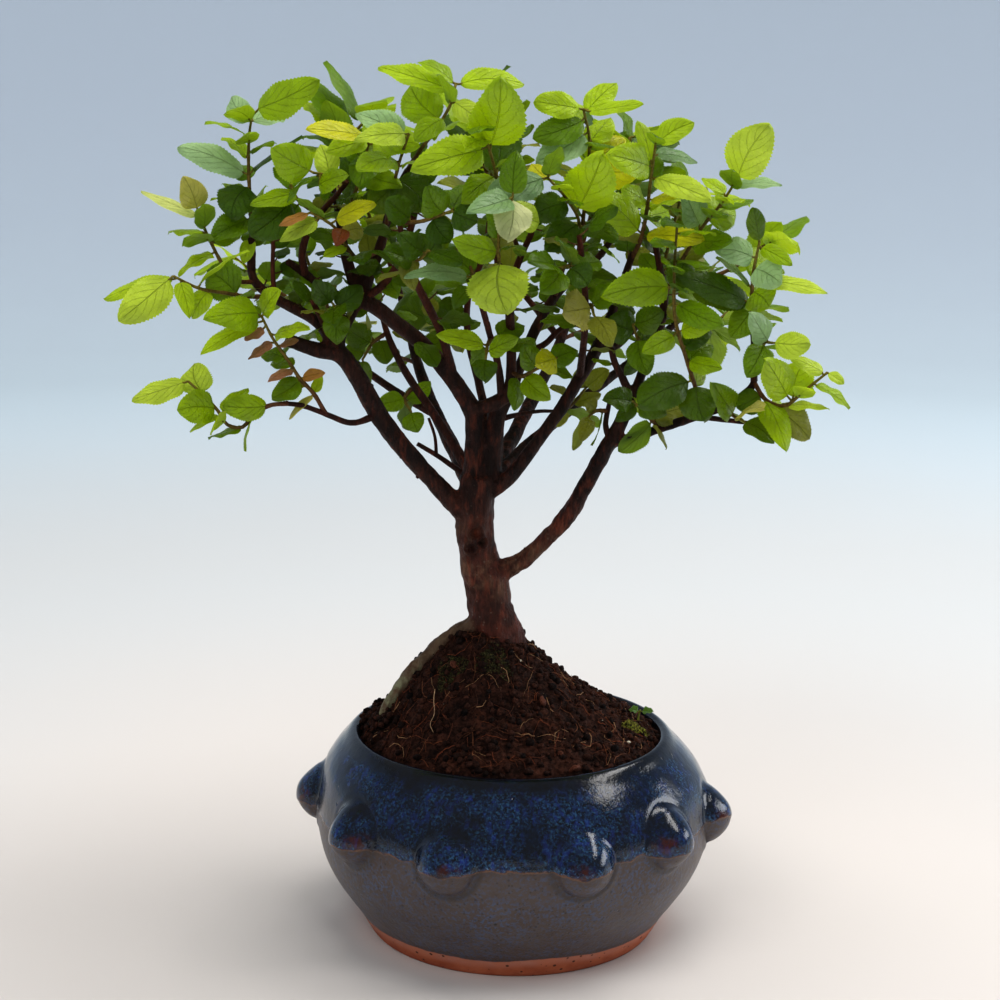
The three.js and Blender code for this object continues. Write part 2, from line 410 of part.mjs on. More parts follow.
    leaves: [
      [17, 169, 12, 162.5, 4, 5.5, 0.8], [18, 170, 27, 173.5, 3, 5, 0.6], [19, 171, 12, 176, 4, 5, 0.5],
      [22, 175, 28, 181, 4, 7, 0.7], [22, 175, 19, 182, -3, 7, 0.7],
    ],
  },
  // back of the crown, grown by rule
  { stem: [[-38, 211, 58], [-43, 222, 56], [-48, 236, 50]], count: 14, size: 20, turn: 0.1 },
  { stem: [[-34, 198, 52], [-24, 208, 62], [-18, 218, 66]], count: 12, size: 20, turn: 0.35 },
  { stem: [[-66, 199, 42], [-76, 206, 44], [-86, 214, 42]], count: 12, size: 19, turn: 0.6 },
  { stem: [[-54, 186, 40], [-58, 200, 28], [-64, 214, 24], [-66, 226, 22]], count: 14, size: 20, turn: 0.85 },
  { stem: [[-6, 213, 62], [-8, 228, 57], [-8, 245, 46]], count: 15, size: 20, turn: 0.2 },
  { stem: [[20, 219, 54], [23, 232, 50], [24, 248, 40]], count: 15, size: 20, turn: 0.45 },
  { stem: [[58, 209, 42], [68, 214, 42], [78, 222, 38]], count: 12, size: 19, turn: 0.7 },
  { stem: [[52, 199, 38], [60, 196, 50], [66, 200, 58]], count: 12, size: 19, turn: 0.95 },
  { stem: [[40, 187, 32], [42, 202, 24], [46, 218, 18], [50, 236, 12]], count: 18, size: 20, turn: 0.3 },
  { stem: [[-8, 229, 28], [-10, 243, 25], [-14, 258, 16]], count: 16, size: 20, turn: 0.55 },
  { stem: [[29, 220, 14], [32, 236, 14], [34, 252, 8]], count: 16, size: 19, turn: 0.82 },
  { stem: [[-57, 239, 0], [-52, 249, 9], [-44, 258, 12]], count: 15, size: 20, turn: 0.05 },
  { stem: [[-30, 182, 42], [-40, 186, 54], [-48, 194, 62]], count: 12, size: 19, turn: 0.15 },
  { stem: [[14, 190, 42], [26, 196, 54], [34, 206, 60]], count: 12, size: 19, turn: 0.4 },
];

const MOSS = [
  { name: "moss_trunk", turn: -78, height: 91, width: 11, depth: 8, rise: 2.2 },
  { name: "moss_slope", turn: -124, height: 88, width: 9, depth: 8, rise: 2.2 },
  { name: "moss_rim", turn: -10, height: 67.4, width: 8, depth: 7, rise: 2.4 },
];

const FINISHES = {
  glaze: new THREE.MeshStandardMaterial({ color: 0x1c2c5a, roughness: 0.2, metalness: 0 }),
  soil: new THREE.MeshStandardMaterial({ color: 0x3a2618, roughness: 1, metalness: 0 }),
  bark: new THREE.MeshStandardMaterial({ color: 0x3f2620, roughness: 0.85, metalness: 0 }),
  leafYoung: new THREE.MeshStandardMaterial({ color: 0x9dbb2c, roughness: 0.4, metalness: 0 }),
  leafMature: new THREE.MeshStandardMaterial({ color: 0x3f6b1d, roughness: 0.4, metalness: 0 }),
  moss: new THREE.MeshStandardMaterial({ color: 0x5c6b22, roughness: 1, metalness: 0 }),
  mesh: new THREE.MeshStandardMaterial({ color: 0x1d1f1e, roughness: 0.6, metalness: 0 }),
};

// Solids from geometries and back
function solid(geometry) {
  geometry.deleteAttribute("normal");
  geometry.deleteAttribute("uv");
  const merged = mergeVertices(geometry, 1e-4);
  return new wasm.Manifold(new wasm.Mesh({
    numProp: 3,
    vertProperties: new Float32Array(merged.attributes.position.array),
    triVerts: new Uint32Array(merged.index.array),
  }));
}

function geometryOf(manifold) {
  const { numProp, vertProperties, triVerts } = manifold.getMesh();
  const positions = new Float32Array((vertProperties.length / numProp) * 3);
  for (let vertex = 0; vertex < positions.length / 3; vertex += 1) {
    for (let axis = 0; axis < 3; axis += 1) {
      positions[vertex * 3 + axis] = vertProperties[vertex * numProp + axis];
    }
  }
  const geometry = new THREE.BufferGeometry();
  geometry.setAttribute("position", new THREE.BufferAttribute(positions, 3));
  geometry.setIndex(new THREE.BufferAttribute(triVerts, 1));
  geometry.computeVertexNormals();
  return geometry;
}

function joined(solids) {
  return solids.reduce((whole, piece) => whole.add(piece));
}

// Drops the slivers that a join leaves
function tidied(manifold) {
  return manifold.asOriginal().simplify(SMOOTHING);
}

function largestBody(manifold) {
  const bodies = manifold.decompose();
  return bodies.reduce((best, body) => (body.volume() > best.volume() ? body : best));
}

function lengthened(points, grow) {
  const longer = points.map((point) => point.clone());
  const last = longer.length - 1;
  longer[0].addScaledVector(points[0].clone().sub(points[1]).normalize(), grow);
  longer[last].addScaledVector(points[last].clone().sub(points[last - 1]).normalize(), grow);
  return longer;
}

// A tapered limb: a round section swept along a smooth curve, each ring then brought to its own radius
function limb(points, radii, sides, steps, grow = 0) {
  const curve = new THREE.CatmullRomCurve3(lengthened(points, grow), false, "catmullrom", 0.5);
  const section = new THREE.Shape();
  section.absarc(0, 0, 1, 0, 2 * Math.PI);
  const outline = new THREE.Shape(section.getSpacedPoints(sides).slice(0, sides));
  const geometry = new THREE.ExtrudeGeometry(outline, { steps, extrudePath: curve, bevelEnabled: false });
  const rings = curve.getSpacedPoints(steps);
  const position = geometry.attributes.position;
  const point = new THREE.Vector3();
  for (let i = 0; i < position.count; i += 1) {
    point.fromBufferAttribute(position, i);
    let nearest = 0;
    rings.forEach((ring, index) => {
      if (ring.distanceToSquared(point) < rings[nearest].distanceToSquared(point)) nearest = index;
    });
    const along = (nearest / steps) * (radii.length - 1);
    const from = Math.min(Math.floor(along), radii.length - 2);
    const radius = THREE.MathUtils.lerp(radii[from], radii[from + 1], along - from) + grow;
    point.sub(rings[nearest]).multiplyScalar(radius).add(rings[nearest]);
    position.setXYZ(i, point.x, point.y, point.z);
  }
  return solid(geometry);
}

function branch(rows, sides, grow = 0) {
  const steps = Math.max(2, rows.length - 1);
  return limb(rows.map(seen), rows.map((row) => row[3]), sides, steps, grow);
}

function wood(grow = 0) {
  return joined([
    branch(TRUNK, 10, grow),
    branch(EXPOSED_ROOT, 6, grow),
    ...BURIED_ROOTS.map((rows) => branch(rows, 6, grow)),
    ...LIMBS.map((rows) => branch(rows, 6, grow)),
    ...TWIGS.map((rows) => branch(rows, 4, grow)),
  ]);
}

// Pot: turned body with an incurved lip, ten studs round the belly and two drain holes
function turned(profile, facets) {
  return solid(new THREE.LatheGeometry(profile.map(([r, z]) => new THREE.Vector2(r, z)), facets).rotateX(Math.PI / 2));
}

function potBody() {
  const { height, footRadius, bellyRadius, openingRadius, wall, floor } = POT;
  const outside = [
    [0, 0], [footRadius, 0], [footRadius + 2.3, 5], [footRadius + 7.9, 13.5], [bellyRadius - 3.2, 22.5],
    [bellyRadius - 0.5, 32], [bellyRadius, 40], [bellyRadius - 1.4, 48.5], [bellyRadius - 5.6, 57],
    [openingRadius + 2.6, height], [0, height],
  ];
  const inside = [
    [0, floor], [footRadius - wall, floor], [footRadius + 7.9 - wall, 13.5], [bellyRadius - 3 - wall, 22.5],
    [bellyRadius - wall, 40], [bellyRadius - 1.4 - wall, 48], [openingRadius + 1.8, 58], [openingRadius, 62],
    [openingRadius + 0.8, height + 5], [0, height + 5],
  ];
  const studs = STUDS.map(([turn, level]) => {
    const angle = THREE.MathUtils.degToRad(turn - 90);
    const stud = new THREE.SphereGeometry(POT.studRadius, 8, 6);
    return solid(stud.translate(Math.cos(angle) * POT.studCentreRadius, Math.sin(angle) * POT.studCentreRadius, level));
  });
  const holes = [-1, 1].map((side) => {
    const hole = new THREE.CylinderGeometry(DRAIN.radius, DRAIN.radius, floor * 3, 12).rotateX(Math.PI / 2);
    return solid(hole.translate(side * DRAIN.offset, 0, floor / 2));
  });
  return joined([turned(outside, POT.facets), ...studs]).subtract(joined([turned(inside, POT.facets), ...holes]));
}

function drainMesh(side) {
  const { offset, meshSide, meshThickness, meshOpening, meshPitch, meshCount } = DRAIN;
  const middle = POT.floor + CLEARANCE + meshThickness / 2;
  const plate = solid(new THREE.BoxGeometry(meshSide, meshSide, meshThickness).translate(side * offset, 0, middle));
  const cuts = [];
  for (let row = 0; row < meshCount; row += 1) {
    for (let column = 0; column < meshCount; column += 1) {
      const cut = new THREE.BoxGeometry(meshOpening, meshOpening, meshThickness * 4);
      const shift = (index) => (index - (meshCount - 1) / 2) * meshPitch;
      cuts.push(solid(cut.translate(side * offset + shift(column), shift(row), middle)));
    }
  }
  return plate.subtract(joined(cuts));
}

// Soil: fills the pot and rises in a mound that leans to the trunk's side. Its outline is [radius, height].
const MOUND = [
  [POT.openingRadius - 0.5, SOIL.rimHeight], [44.5, 64.4], [37, 70.5], [31.5, 75.5], [26, 80.5], [15.5, 91], [9, 96.5],
  [0, SOIL.apexHeight],
];

function moundShift(height) {
  const rise = THREE.MathUtils.smoothstep(height, SOIL.rimHeight, THREE.MathUtils.lerp(SOIL.rimHeight,
    SOIL.apexHeight, SOIL.shoulder));
  return SOIL.apexX * rise;
}

function onMound(turn, height) {
  const upper = MOUND.findIndex(([, level]) => level >= height);
  const [[fromRadius, from], [toRadius, to]] = MOUND.slice(upper - 1, upper + 1);
  const radius = THREE.MathUtils.mapLinear(height, from, to, fromRadius, toRadius);
  const angle = THREE.MathUtils.degToRad(turn);
  return new THREE.Vector3(moundShift(height) + radius * Math.cos(angle), radius * Math.sin(angle), height);
}

function soilBody() {
  const { footRadius, bellyRadius, openingRadius, wall } = POT;
  const bottom = POT.floor + 2 * CLEARANCE + DRAIN.meshThickness;
  const side = wall + 2 * CLEARANCE;
  const profile = [
    [0, bottom], [footRadius + 0.8 - side, bottom], [footRadius + 7.9 - side, 13.5], [bellyRadius - 3 - side, 22.5],
    [bellyRadius - side, 40], [bellyRadius - 1.4 - side, 48], [openingRadius + 1.2, 57.6], ...MOUND,
  ];
  const lathe = new THREE.LatheGeometry(profile.map(([r, z]) => new THREE.Vector2(r, z)), SOIL.facets);
  lathe.rotateX(Math.PI / 2);
  const position = lathe.attributes.position;
  for (let i = 0; i < position.count; i += 1) {
    position.setX(i, position.getX(i) + moundShift(position.getZ(i)));
  }
  return solid(lathe);
}

// Leaves
const UP = new THREE.Vector3(0, 0.1, 1).normalize();
const VIEWER = new THREE.Vector3(0, -1, 0.15).normalize();
const CROWN_CENTRE = new THREE.Vector3(-8, 0, 190);

function chance(seed) {
  const value = Math.sin(seed * 12.9898 + 4.137) * 43758.5453;
  return value - Math.floor(value);
}

// A leaf's frame: from its base along its axis, with its broad side across and its face to where it looks
function leafFrame(base, tip, facing, width) {
  const axis = tip.clone().sub(base);
  const length = axis.length();
  axis.normalize();
  const face = facing.clone().addScaledVector(axis, -facing.dot(axis)).normalize();
  const across = new THREE.Vector3().crossVectors(face, axis);
  return { base, axis, across, face, length, width };
}

function nearestOnStem(curvePoints, target) {
  return curvePoints.reduce((best, point) => (point.distanceTo(target) < best.distanceTo(target) ? point : best));
}

function leafSamples({ base, axis, across, length, width }) {
  const spots = [[0.2, 0], [0.45, 0], [0.7, 0], [0.95, 0], [0.3, 0.32], [0.55, 0.38], [0.78, 0.3]];
  const samples = [];
  spots.forEach(([along, aside]) => {
    const sides = aside === 0 ? [0] : [-aside, aside];
    sides.forEach((share) => samples.push(base.clone().addScaledVector(axis, length * along)
      .addScaledVector(across, width * share)));
  });
  return samples;
}

function clashes(samples, taken) {
  return taken.some((others) => {
    if (others[1].distanceTo(samples[1]) > 32) return false;
    return others.some((other) => samples.some((sample) => sample.distanceTo(other) < SHOOT.clash));
  });
}

// Leaves read from the front view keep their outline and swing nearer or farther until they are clear
function placedLeaves(shoot, stem, taken) {
  const swings = [0, -4, 4, -8, 8, -12, 12];
  const leaves = [];
  shoot.leaves.forEach(([baseX, baseZ, tipX, tipZ, lean, width, squareness]) => {
    const near = stem.reduce((best, point) => {
      const target = seen([baseX, baseZ, point.y]);
      return target.distanceTo(point) < seen([baseX, baseZ, best.y]).distanceTo(best) ? point : best;
    });
    const base = seen([baseX, baseZ, near.y]);
    const facing = UP.clone().lerp(VIEWER, squareness);
    const free = swings.map((swing) => {
      const tip = seen([tipX, tipZ, near.y + lean + swing]);
      return leafFrame(base, tip, facing, width);
    }).find((frame) => !clashes(leafSamples(frame), taken));
    if (free) {
      taken.push(leafSamples(free));
      leaves.push(free);
    }
  });
  return leaves;
}

// Leaves grown by rule stand round the stem by the golden angle and look up and outwards
function grownLeaves(shoot, stem, taken) {
  const leaves = [];
  for (let index = 0; index < shoot.count; index += 1) {
    const along = 0.22 + (0.78 * index) / (shoot.count - 1);
    const place = Math.min(stem.length - 2, Math.floor(along * (stem.length - 1)));
    const base = stem[Math.round(along * (stem.length - 1))];
    const tangent = stem[place + 1].clone().sub(stem[place]).normalize();
    const outward = base.clone().sub(CROWN_CENTRE).normalize();
    const sideways = new THREE.Vector3().crossVectors(tangent, UP).normalize();
    const upwards = new THREE.Vector3().crossVectors(sideways, tangent);
    const tries = [0, 1, 2, 3, 4, 5];
    const free = tries.map((attempt) => {
      const seed = shoot.turn * 97 + index * 7 + attempt * 3;
      const angle = 2 * Math.PI * (shoot.turn + index * 0.382 + attempt * 0.17);
      const axis = tangent.clone().multiplyScalar(0.5)
        .addScaledVector(sideways, Math.cos(angle) * 0.9)
        .addScaledVector(upwards, Math.sin(angle) * 0.6)
        .addScaledVector(outward, 0.5);
      axis.z -= 0.35 + 0.3 * chance(seed);
      const length = shoot.size * (0.8 + 0.35 * chance(seed + 1));
      const tip = base.clone().addScaledVector(axis.normalize(), length);
      const facing = UP.clone().multiplyScalar(0.8).addScaledVector(outward, 0.4 + 0.5 * chance(seed + 2));
      return leafFrame(base, tip, facing, length * LEAF.usualShape);
    }).find((frame) => !clashes(leafSamples(frame), taken));
    if (free) {
      taken.push(leafSamples(free));
      leaves.push(free);
    }
  }
  return leaves;
}

function leafSolid({ base, axis, across, face, length, width }, grow) {
  const half = width / 2 + grow;
  const outline = new THREE.Shape([[-0.03, 0], [LEAF.broadest, -1], [1, 0], [LEAF.broadest, 1]]
    .map(([along, aside]) => new THREE.Vector2(along * length, aside * half)));
  const thickness = LEAF.thickness + 2 * grow;
  const plate = new THREE.ExtrudeGeometry(outline, { depth: thickness, bevelEnabled: false });
  plate.translate(0, 0, -thickness / 2);
  return solid(plate.applyMatrix4(new THREE.Matrix4().makeBasis(axis, across, face).setPosition(base)));
}

function petiole(from, frame, grow) {
  const end = frame.base.clone().addScaledVector(frame.axis, 2);
  const radii = [SHOOT.petioleRadius, SHOOT.petioleRadius];
  return limb([from, end], radii, 3, 1, grow);
}

function shootSolid({ stem, stemPoints, leaves }, grow = 0) {
  const radii = [SHOOT.stemRadius * 1.15, SHOOT.stemRadius * 0.7];
  const pieces = [limb(stemPoints, radii, SHOOT.sides, stemPoints.length - 1, grow)];
  leaves.forEach((frame) => {
    const from = nearestOnStem(stem, frame.base);
    pieces.push(leafSolid(frame, grow));
    if (from.distanceTo(frame.base) > SHOOT.snap) pieces.push(petiole(from, frame, grow));
  });
  return joined(pieces);
}

// Every shoot seen from the front then gets smaller leaves between the ones that are read
function growShoots() {
  const taken = [];
  const grown = SHOOTS.map((shoot) => {
    const stemPoints = shoot.stem.map(seen);
    const stem = new THREE.CatmullRomCurve3(stemPoints, false, "catmullrom", 0.5).getSpacedPoints(24);
    return { stem, stemPoints, leaves: shoot.leaves ? placedLeaves(shoot, stem, taken) : [] };
  });
  SHOOTS.forEach((shoot, index) => {
    const rule = shoot.leaves ? { count: FILL.count, size: FILL.size, turn: index * FILL.step } : shoot;
    grown[index].leaves.push(...grownLeaves(rule, grown[index].stem, taken));
  });
  return grown;
}

// Small growth on the mound
function mossCushion({ turn, height, width, depth, rise }) {
  const { x, y, z } = onMound(turn, height);
  const ball = new THREE.SphereGeometry(1, 8, 6).scale(width / 2, depth / 2, rise).translate(x, y, z);
  return solid(ball).subtract(RAISED_SOIL).subtract(WOOD_ROOM);
}

function seedling() {
  const root = onMound(5, 66.6);
  const top = root.clone().add(new THREE.Vector3(0.6, -0.4, 3.6));
  const leaves = [[4.2, -1, 0.9], [-3.6, 0.8, 0.7]].map(([x, y, z]) => {
    const base = top.clone().lerp(root, 0.15);
    return leafFrame(base, base.clone().add(new THREE.Vector3(x, y, z)), UP, 3.6);
  });
  const stem = limb([root, top], [0.7, 0.55], SHOOT.sides, 2);
  return joined([stem, ...leaves.map((frame) => leafSolid(frame, 0))]).subtract(RAISED_SOIL);
}

const WOOD = tidied(wood());
const WOOD_ROOM = tidied(wood(ROOM));
const SOIL_BODY = tidied(soilBody()).subtract(WOOD_ROOM);
const RAISED_SOIL = soilBody().translate(0, 0, CLEARANCE);

const bonsai = new THREE.Group();
function add(name, manifold, material) {
  const mesh = new THREE.Mesh(geometryOf(largestBody(manifold.simplify(SMOOTHING / 4))), material);
  mesh.name = name;
  bonsai.add(mesh);
}

add("pot", tidied(potBody()), FINISHES.glaze);
add("drain_mesh_left", drainMesh(-1), FINISHES.mesh);
add("drain_mesh_right", drainMesh(1), FINISHES.mesh);
add("soil_mound", SOIL_BODY, FINISHES.soil);
add("tree_wood", WOOD, FINISHES.bark);
MOSS.forEach((cushion) => add(cushion.name, mossCushion(cushion), FINISHES.moss));
add("seedling", seedling(), FINISHES.leafYoung);

const placed = [];
growShoots().forEach((shoot, index) => {
  const roomy = tidied(shootSolid(shoot, ROOM));
  let body = tidied(shootSolid(shoot)).subtract(WOOD_ROOM);
  placed.forEach((other) => {
    body = body.subtract(other);
  });
  placed.push(roomy);
  const material = SHOOTS[index].leaves ? FINISHES.leafYoung : FINISHES.leafMature;
  add(`shoot_${String(index + 1).padStart(2, "0")}`, body, material);
});

export default bonsai;
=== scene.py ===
"""Looks of a sweet plum bonsai in a round studded pot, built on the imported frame.

The scene is in metres. Shapes are worked out in millimetres and scaled by MM when they become objects. The growth is
laid out in front view, as x, height and depth behind the trunk, as it is in the construction.
"""
import json
import logging
import math
import random
from collections.abc import Callable, Iterable, Iterator, Sequence
from dataclasses import dataclass, field
from enum import Enum

import bmesh
import bpy
import numpy as np
from mathutils import Matrix, Vector, noise
from mathutils.bvhtree import BVHTree

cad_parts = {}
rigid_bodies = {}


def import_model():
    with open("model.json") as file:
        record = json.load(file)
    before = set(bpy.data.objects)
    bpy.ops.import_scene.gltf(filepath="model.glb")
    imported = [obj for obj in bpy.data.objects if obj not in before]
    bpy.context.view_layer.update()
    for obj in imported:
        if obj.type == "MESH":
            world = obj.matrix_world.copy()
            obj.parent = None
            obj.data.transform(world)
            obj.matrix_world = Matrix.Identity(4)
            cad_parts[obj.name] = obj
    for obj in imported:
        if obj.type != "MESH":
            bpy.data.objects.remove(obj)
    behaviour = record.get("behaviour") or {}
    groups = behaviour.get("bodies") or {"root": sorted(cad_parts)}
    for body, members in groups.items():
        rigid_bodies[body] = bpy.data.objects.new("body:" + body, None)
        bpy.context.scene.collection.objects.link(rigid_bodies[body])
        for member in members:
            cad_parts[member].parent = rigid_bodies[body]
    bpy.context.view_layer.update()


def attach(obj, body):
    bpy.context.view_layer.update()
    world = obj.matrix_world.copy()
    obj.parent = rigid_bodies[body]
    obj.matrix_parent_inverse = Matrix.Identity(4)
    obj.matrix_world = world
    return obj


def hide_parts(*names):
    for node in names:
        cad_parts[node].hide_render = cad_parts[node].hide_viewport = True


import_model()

LOG = logging.getLogger("bonsai")
MM = 0.001
Colour = tuple[float, float, float]
Row = tuple[float, ...]
Points = np.ndarray
Faces = list[list[int]]
Piece = bpy.types.Object
Finish = bpy.types.Material
Socket = bpy.types.NodeSocket

# The loose matter on the mound lies above this height
SOIL_EDGE = 61

# The camera stands where the photograph was taken from; the growth is read from there
EYE = np.array((-4.0, -672.0, 287.0))
EYE_PITCH = 12.4
EYE_ROLL = 0.8
FOCAL_LENGTH = 79.2
SENSOR_WIDTH = 36.0


def linear(red: int, green: int, blue: int) -> Colour:
    """Returns a display colour of 0 to 255 as linear light."""
    shares = (value / 255 for value in (red, green, blue))
    return tuple(s / 12.92 if s <= 0.04045 else ((s + 0.055) / 1.055) ** 2.4 for s in shares)


def seen(row: Row) -> Points:
    """Returns the place of a front-view point, which slides along its line of sight with its depth.

    Args:
        row: x and height in the trunk's plane, then the depth behind it; further values are ignored.
    """
    x, height, depth = row[:3]
    reach = (depth - EYE[1]) / -EYE[1]
    return np.array((EYE[0] + (x - EYE[0]) * reach, depth, EYE[2] + (height - EYE[2]) * reach))


def unit(vector: Points) -> Points:
    """Returns the vector at length one."""
    return vector / np.linalg.norm(vector)


def chance(seed: float) -> float:
    """Returns a repeatable share of 0 to 1 for a seed."""
    value = math.sin(seed * 12.9898 + 4.137) * 43758.5453
    return value - math.floor(value)


def smoothstep(value: Points, low: float, high: float) -> Points:
    """Returns 0 below low, 1 above high and an eased share between them."""
    share = np.clip((value - low) / (high - low), 0, 1)
    return share * share * (3 - 2 * share)


def bell(value: Points, middle: float, width: float) -> Points:
    """Returns 1 at the middle value and less the further a value is from it, in widths."""
    return np.exp(-((value - middle) / width) ** 2)


def rough(points: Points, size: float, octaves: int = 3, stretch: Row = (1, 1, 1), offset: float = 0) -> Points:
    """Returns a noise value of about -1 to 1 for each point.

    Args:
        points: places in millimetres.
        size: the size of the largest lumps, in millimetres.
        octaves: how many finer layers are added.
        stretch: how much longer the lumps are along each axis.
        offset: moves the pattern, so that two of one size differ.
    """
    scaled = points / (size * np.array(stretch)) + offset
    return np.array([noise.fractal(Vector(point), 0.9, 2.1, octaves) for point in scaled])


class Spline:
    """A smooth curve through points, with its spacing by arc length."""

    TENSION = 0.5
    DIVISIONS = 200

    def __init__(self, points: Sequence[Points]) -> None:
        """Keeps the points and one more past each end."""
        inner = np.array(points, dtype=float)
        before = 2 * inner[0] - inner[1]
        after = 2 * inner[-1] - inner[-2]
        self.points = np.vstack((before, inner, after))
        self.segments = len(inner) - 1

    def at(self, shares: Points) -> Points:
        """Returns the points at shares of 0 to 1 of the curve's own parameter."""
        place = np.clip(np.asarray(shares, dtype=float), 0, 1) * self.segments
        start = np.minimum(np.floor(place).astype(int), self.segments - 1)
        t = (place - start)[:, None]
        p0, p1, p2, p3 = (self.points[start + step] for step in range(4))
        leave = self.TENSION * (p2 - p0)
        reach = self.TENSION * (p3 - p1)
        return (p1 + leave * t + (-3 * p1 + 3 * p2 - 2 * leave - reach) * t ** 2
                + (2 * p1 - 2 * p2 + leave + reach) * t ** 3)

    def spaced(self, count: int) -> Points:
        """Returns count + 1 points at equal distances along the curve."""
        steps = np.linspace(0, 1, self.DIVISIONS + 1)
        line = self.at(steps)
        lengths = np.concatenate(([0], np.cumsum(np.linalg.norm(np.diff(line, axis=0), axis=1))))
        return self.at(np.interp(np.linspace(0, lengths[-1], count + 1), lengths, steps))


def stand(name: str, data: bpy.types.ID) -> Piece:
    """Returns a new object in the scene that shows the data."""
    made = bpy.data.objects.new(name, data)
    bpy.context.scene.collection.objects.link(made)
    return made


class Sculpt:
    """Vertices, faces and surface values that are gathered in millimetres and become one object."""

    def __init__(self) -> None:
        """Starts empty."""
        self.points: list[Points] = []
        self.faces: Faces = []
        self.tones: list[Points] = []
        self.places: list[Points] = []
        self.slots: list[int] = []
        self.count = 0

    def add(self, points: Points, faces: Iterable[Sequence[int]], tone: Sequence[float] = (0, 0, 0, 0),
            place: Points | None = None, slot: int = 0) -> None:
        """Adds a shape.

        Args:
            points: its vertices.
            faces: its faces, as indices into points.
            tone: the colour attribute of each vertex, one for all or one each.
            place: the surface coordinates of each vertex, across and along.
            slot: the material slot of its faces.
        """
        size = len(points)
        new = [[int(index) + self.count for index in face] for face in faces]
        self.points.append(np.asarray(points, dtype=float))
        self.faces += new
        self.slots += [slot] * len(new)
        self.tones.append(np.broadcast_to(np.asarray(tone, dtype=float), (size, 4)))
        self.places.append(np.zeros((size, 2)) if place is None else place)
        self.count += size

    def build(self, name: str, *materials: Finish) -> Piece:
        """Returns the gathered shapes as one smooth-shaded object in metres."""
        mesh = bpy.data.meshes.new(name)
        mesh.from_pydata((np.vstack(self.points) * MM).tolist(), [], self.faces)
        tones = mesh.color_attributes.new("tone", "FLOAT_COLOR", "POINT")
        tones.data.foreach_set("color", np.vstack(self.tones).ravel())
        corners = np.zeros(len(mesh.loops), dtype=np.int32)
        mesh.loops.foreach_get("vertex_index", corners)
        layer = mesh.uv_layers.new(name="place")
        layer.uv.foreach_set("vector", np.vstack(self.places)[corners].ravel())
        mesh.polygons.foreach_set("use_smooth", [True] * len(mesh.polygons))
        mesh.polygons.foreach_set("material_index", self.slots)
        piece = stand(name, mesh)
        for material in materials:
            mesh.materials.append(material)
        mesh.update()
        return piece


def seen_line(rows: Iterable[Row]) -> Points:
    """Returns the places of front-view points."""
    return np.array([seen(row) for row in rows])


def line_length(points: Points) -> float:
    """Returns the length of a line through points."""
    return float(np.linalg.norm(np.diff(points, axis=0), axis=1).sum())


def outline_curve(rows: Iterable[Row]) -> Spline:
    """Returns the curve through an outline's rows of radius and height."""
    return Spline([np.array((radius, height, 0.0)) for radius, height in rows])


def turned(shift: Points, radius: Points, height: Points, turns: Points) -> Points:
    """Returns the points of a turned body.

    Args:
        shift: how far each point is moved along x.
        radius: each point's distance from the axis.
        height: each point's height.
        turns: the directions round the axis.
    """
    return np.stack((shift + radius * np.cos(turns), radius * np.sin(turns), height), axis=-1).reshape(-1, 3)


def ring_faces(rings: int, sides: int, closed: bool = True) -> Faces:
    """Returns the quads between rings of points, each ring with the same number of sides."""
    around = sides if closed else sides - 1
    return [
        [ring * sides + side, ring * sides + (side + 1) % sides,
         (ring + 1) * sides + (side + 1) % sides, (ring + 1) * sides + side]
        for ring in range(rings - 1) for side in range(around)
    ]


def closed_faces(rings: int, sides: int) -> Faces:
    """Returns the quads between rings of points and a flat face at each end."""
    ends = [list(range(sides))[::-1], [(rings - 1) * sides + side for side in range(sides)]]
    return ring_faces(rings, sides) + ends


def carried_frames(line: Points) -> tuple[Points, Points]:
    """Returns two directions across a line at each of its points, which turn no more than the line does."""
    along = np.gradient(line, axis=0)
    along /= np.linalg.norm(along, axis=1)[:, None]
    start = np.array((0.0, 1.0, 0.0)) if abs(along[0][1]) < 0.9 else np.array((1.0, 0.0, 0.0))
    sides = [unit(start - along[0] * start.dot(along[0]))]
    for direction in along[1:]:
        side = sides[-1] - direction * sides[-1].dot(direction)
        sides.append(unit(side))
    first = np.array(sides)
    return first, np.cross(along, first)


def tube(line: Points, radii: Points, sides: int, wobble: float = 0, seed: float = 0) -> tuple[Points, Faces]:
    """Returns a closed round tube along a line.

    Args:
        line: the points that it follows.
        radii: its radius at each point.
        sides: how many faces go round it.
        wobble: how uneven its rings are, as a share of the radius.
        seed: which unevenness it gets.
    """
    first, second = carried_frames(line)
    turns = np.linspace(0, 2 * math.pi, sides, endpoint=False)
    directions = (np.cos(turns)[None, :, None] * first[:, None, :]
                  + np.sin(turns)[None, :, None] * second[:, None, :])
    reach = np.asarray(radii, dtype=float)[:, None] * np.ones((1, sides))
    if wobble:
        lumps = np.random.default_rng(int(seed)).normal(0, 1, reach.shape)
        lumps = (lumps + np.roll(lumps, 1, 0) + np.roll(lumps, 1, 1)) / 3
        reach *= 1 + wobble * lumps
    points = (line[:, None, :] + directions * reach[:, :, None]).reshape(-1, 3)
    return points, closed_faces(len(line), sides)


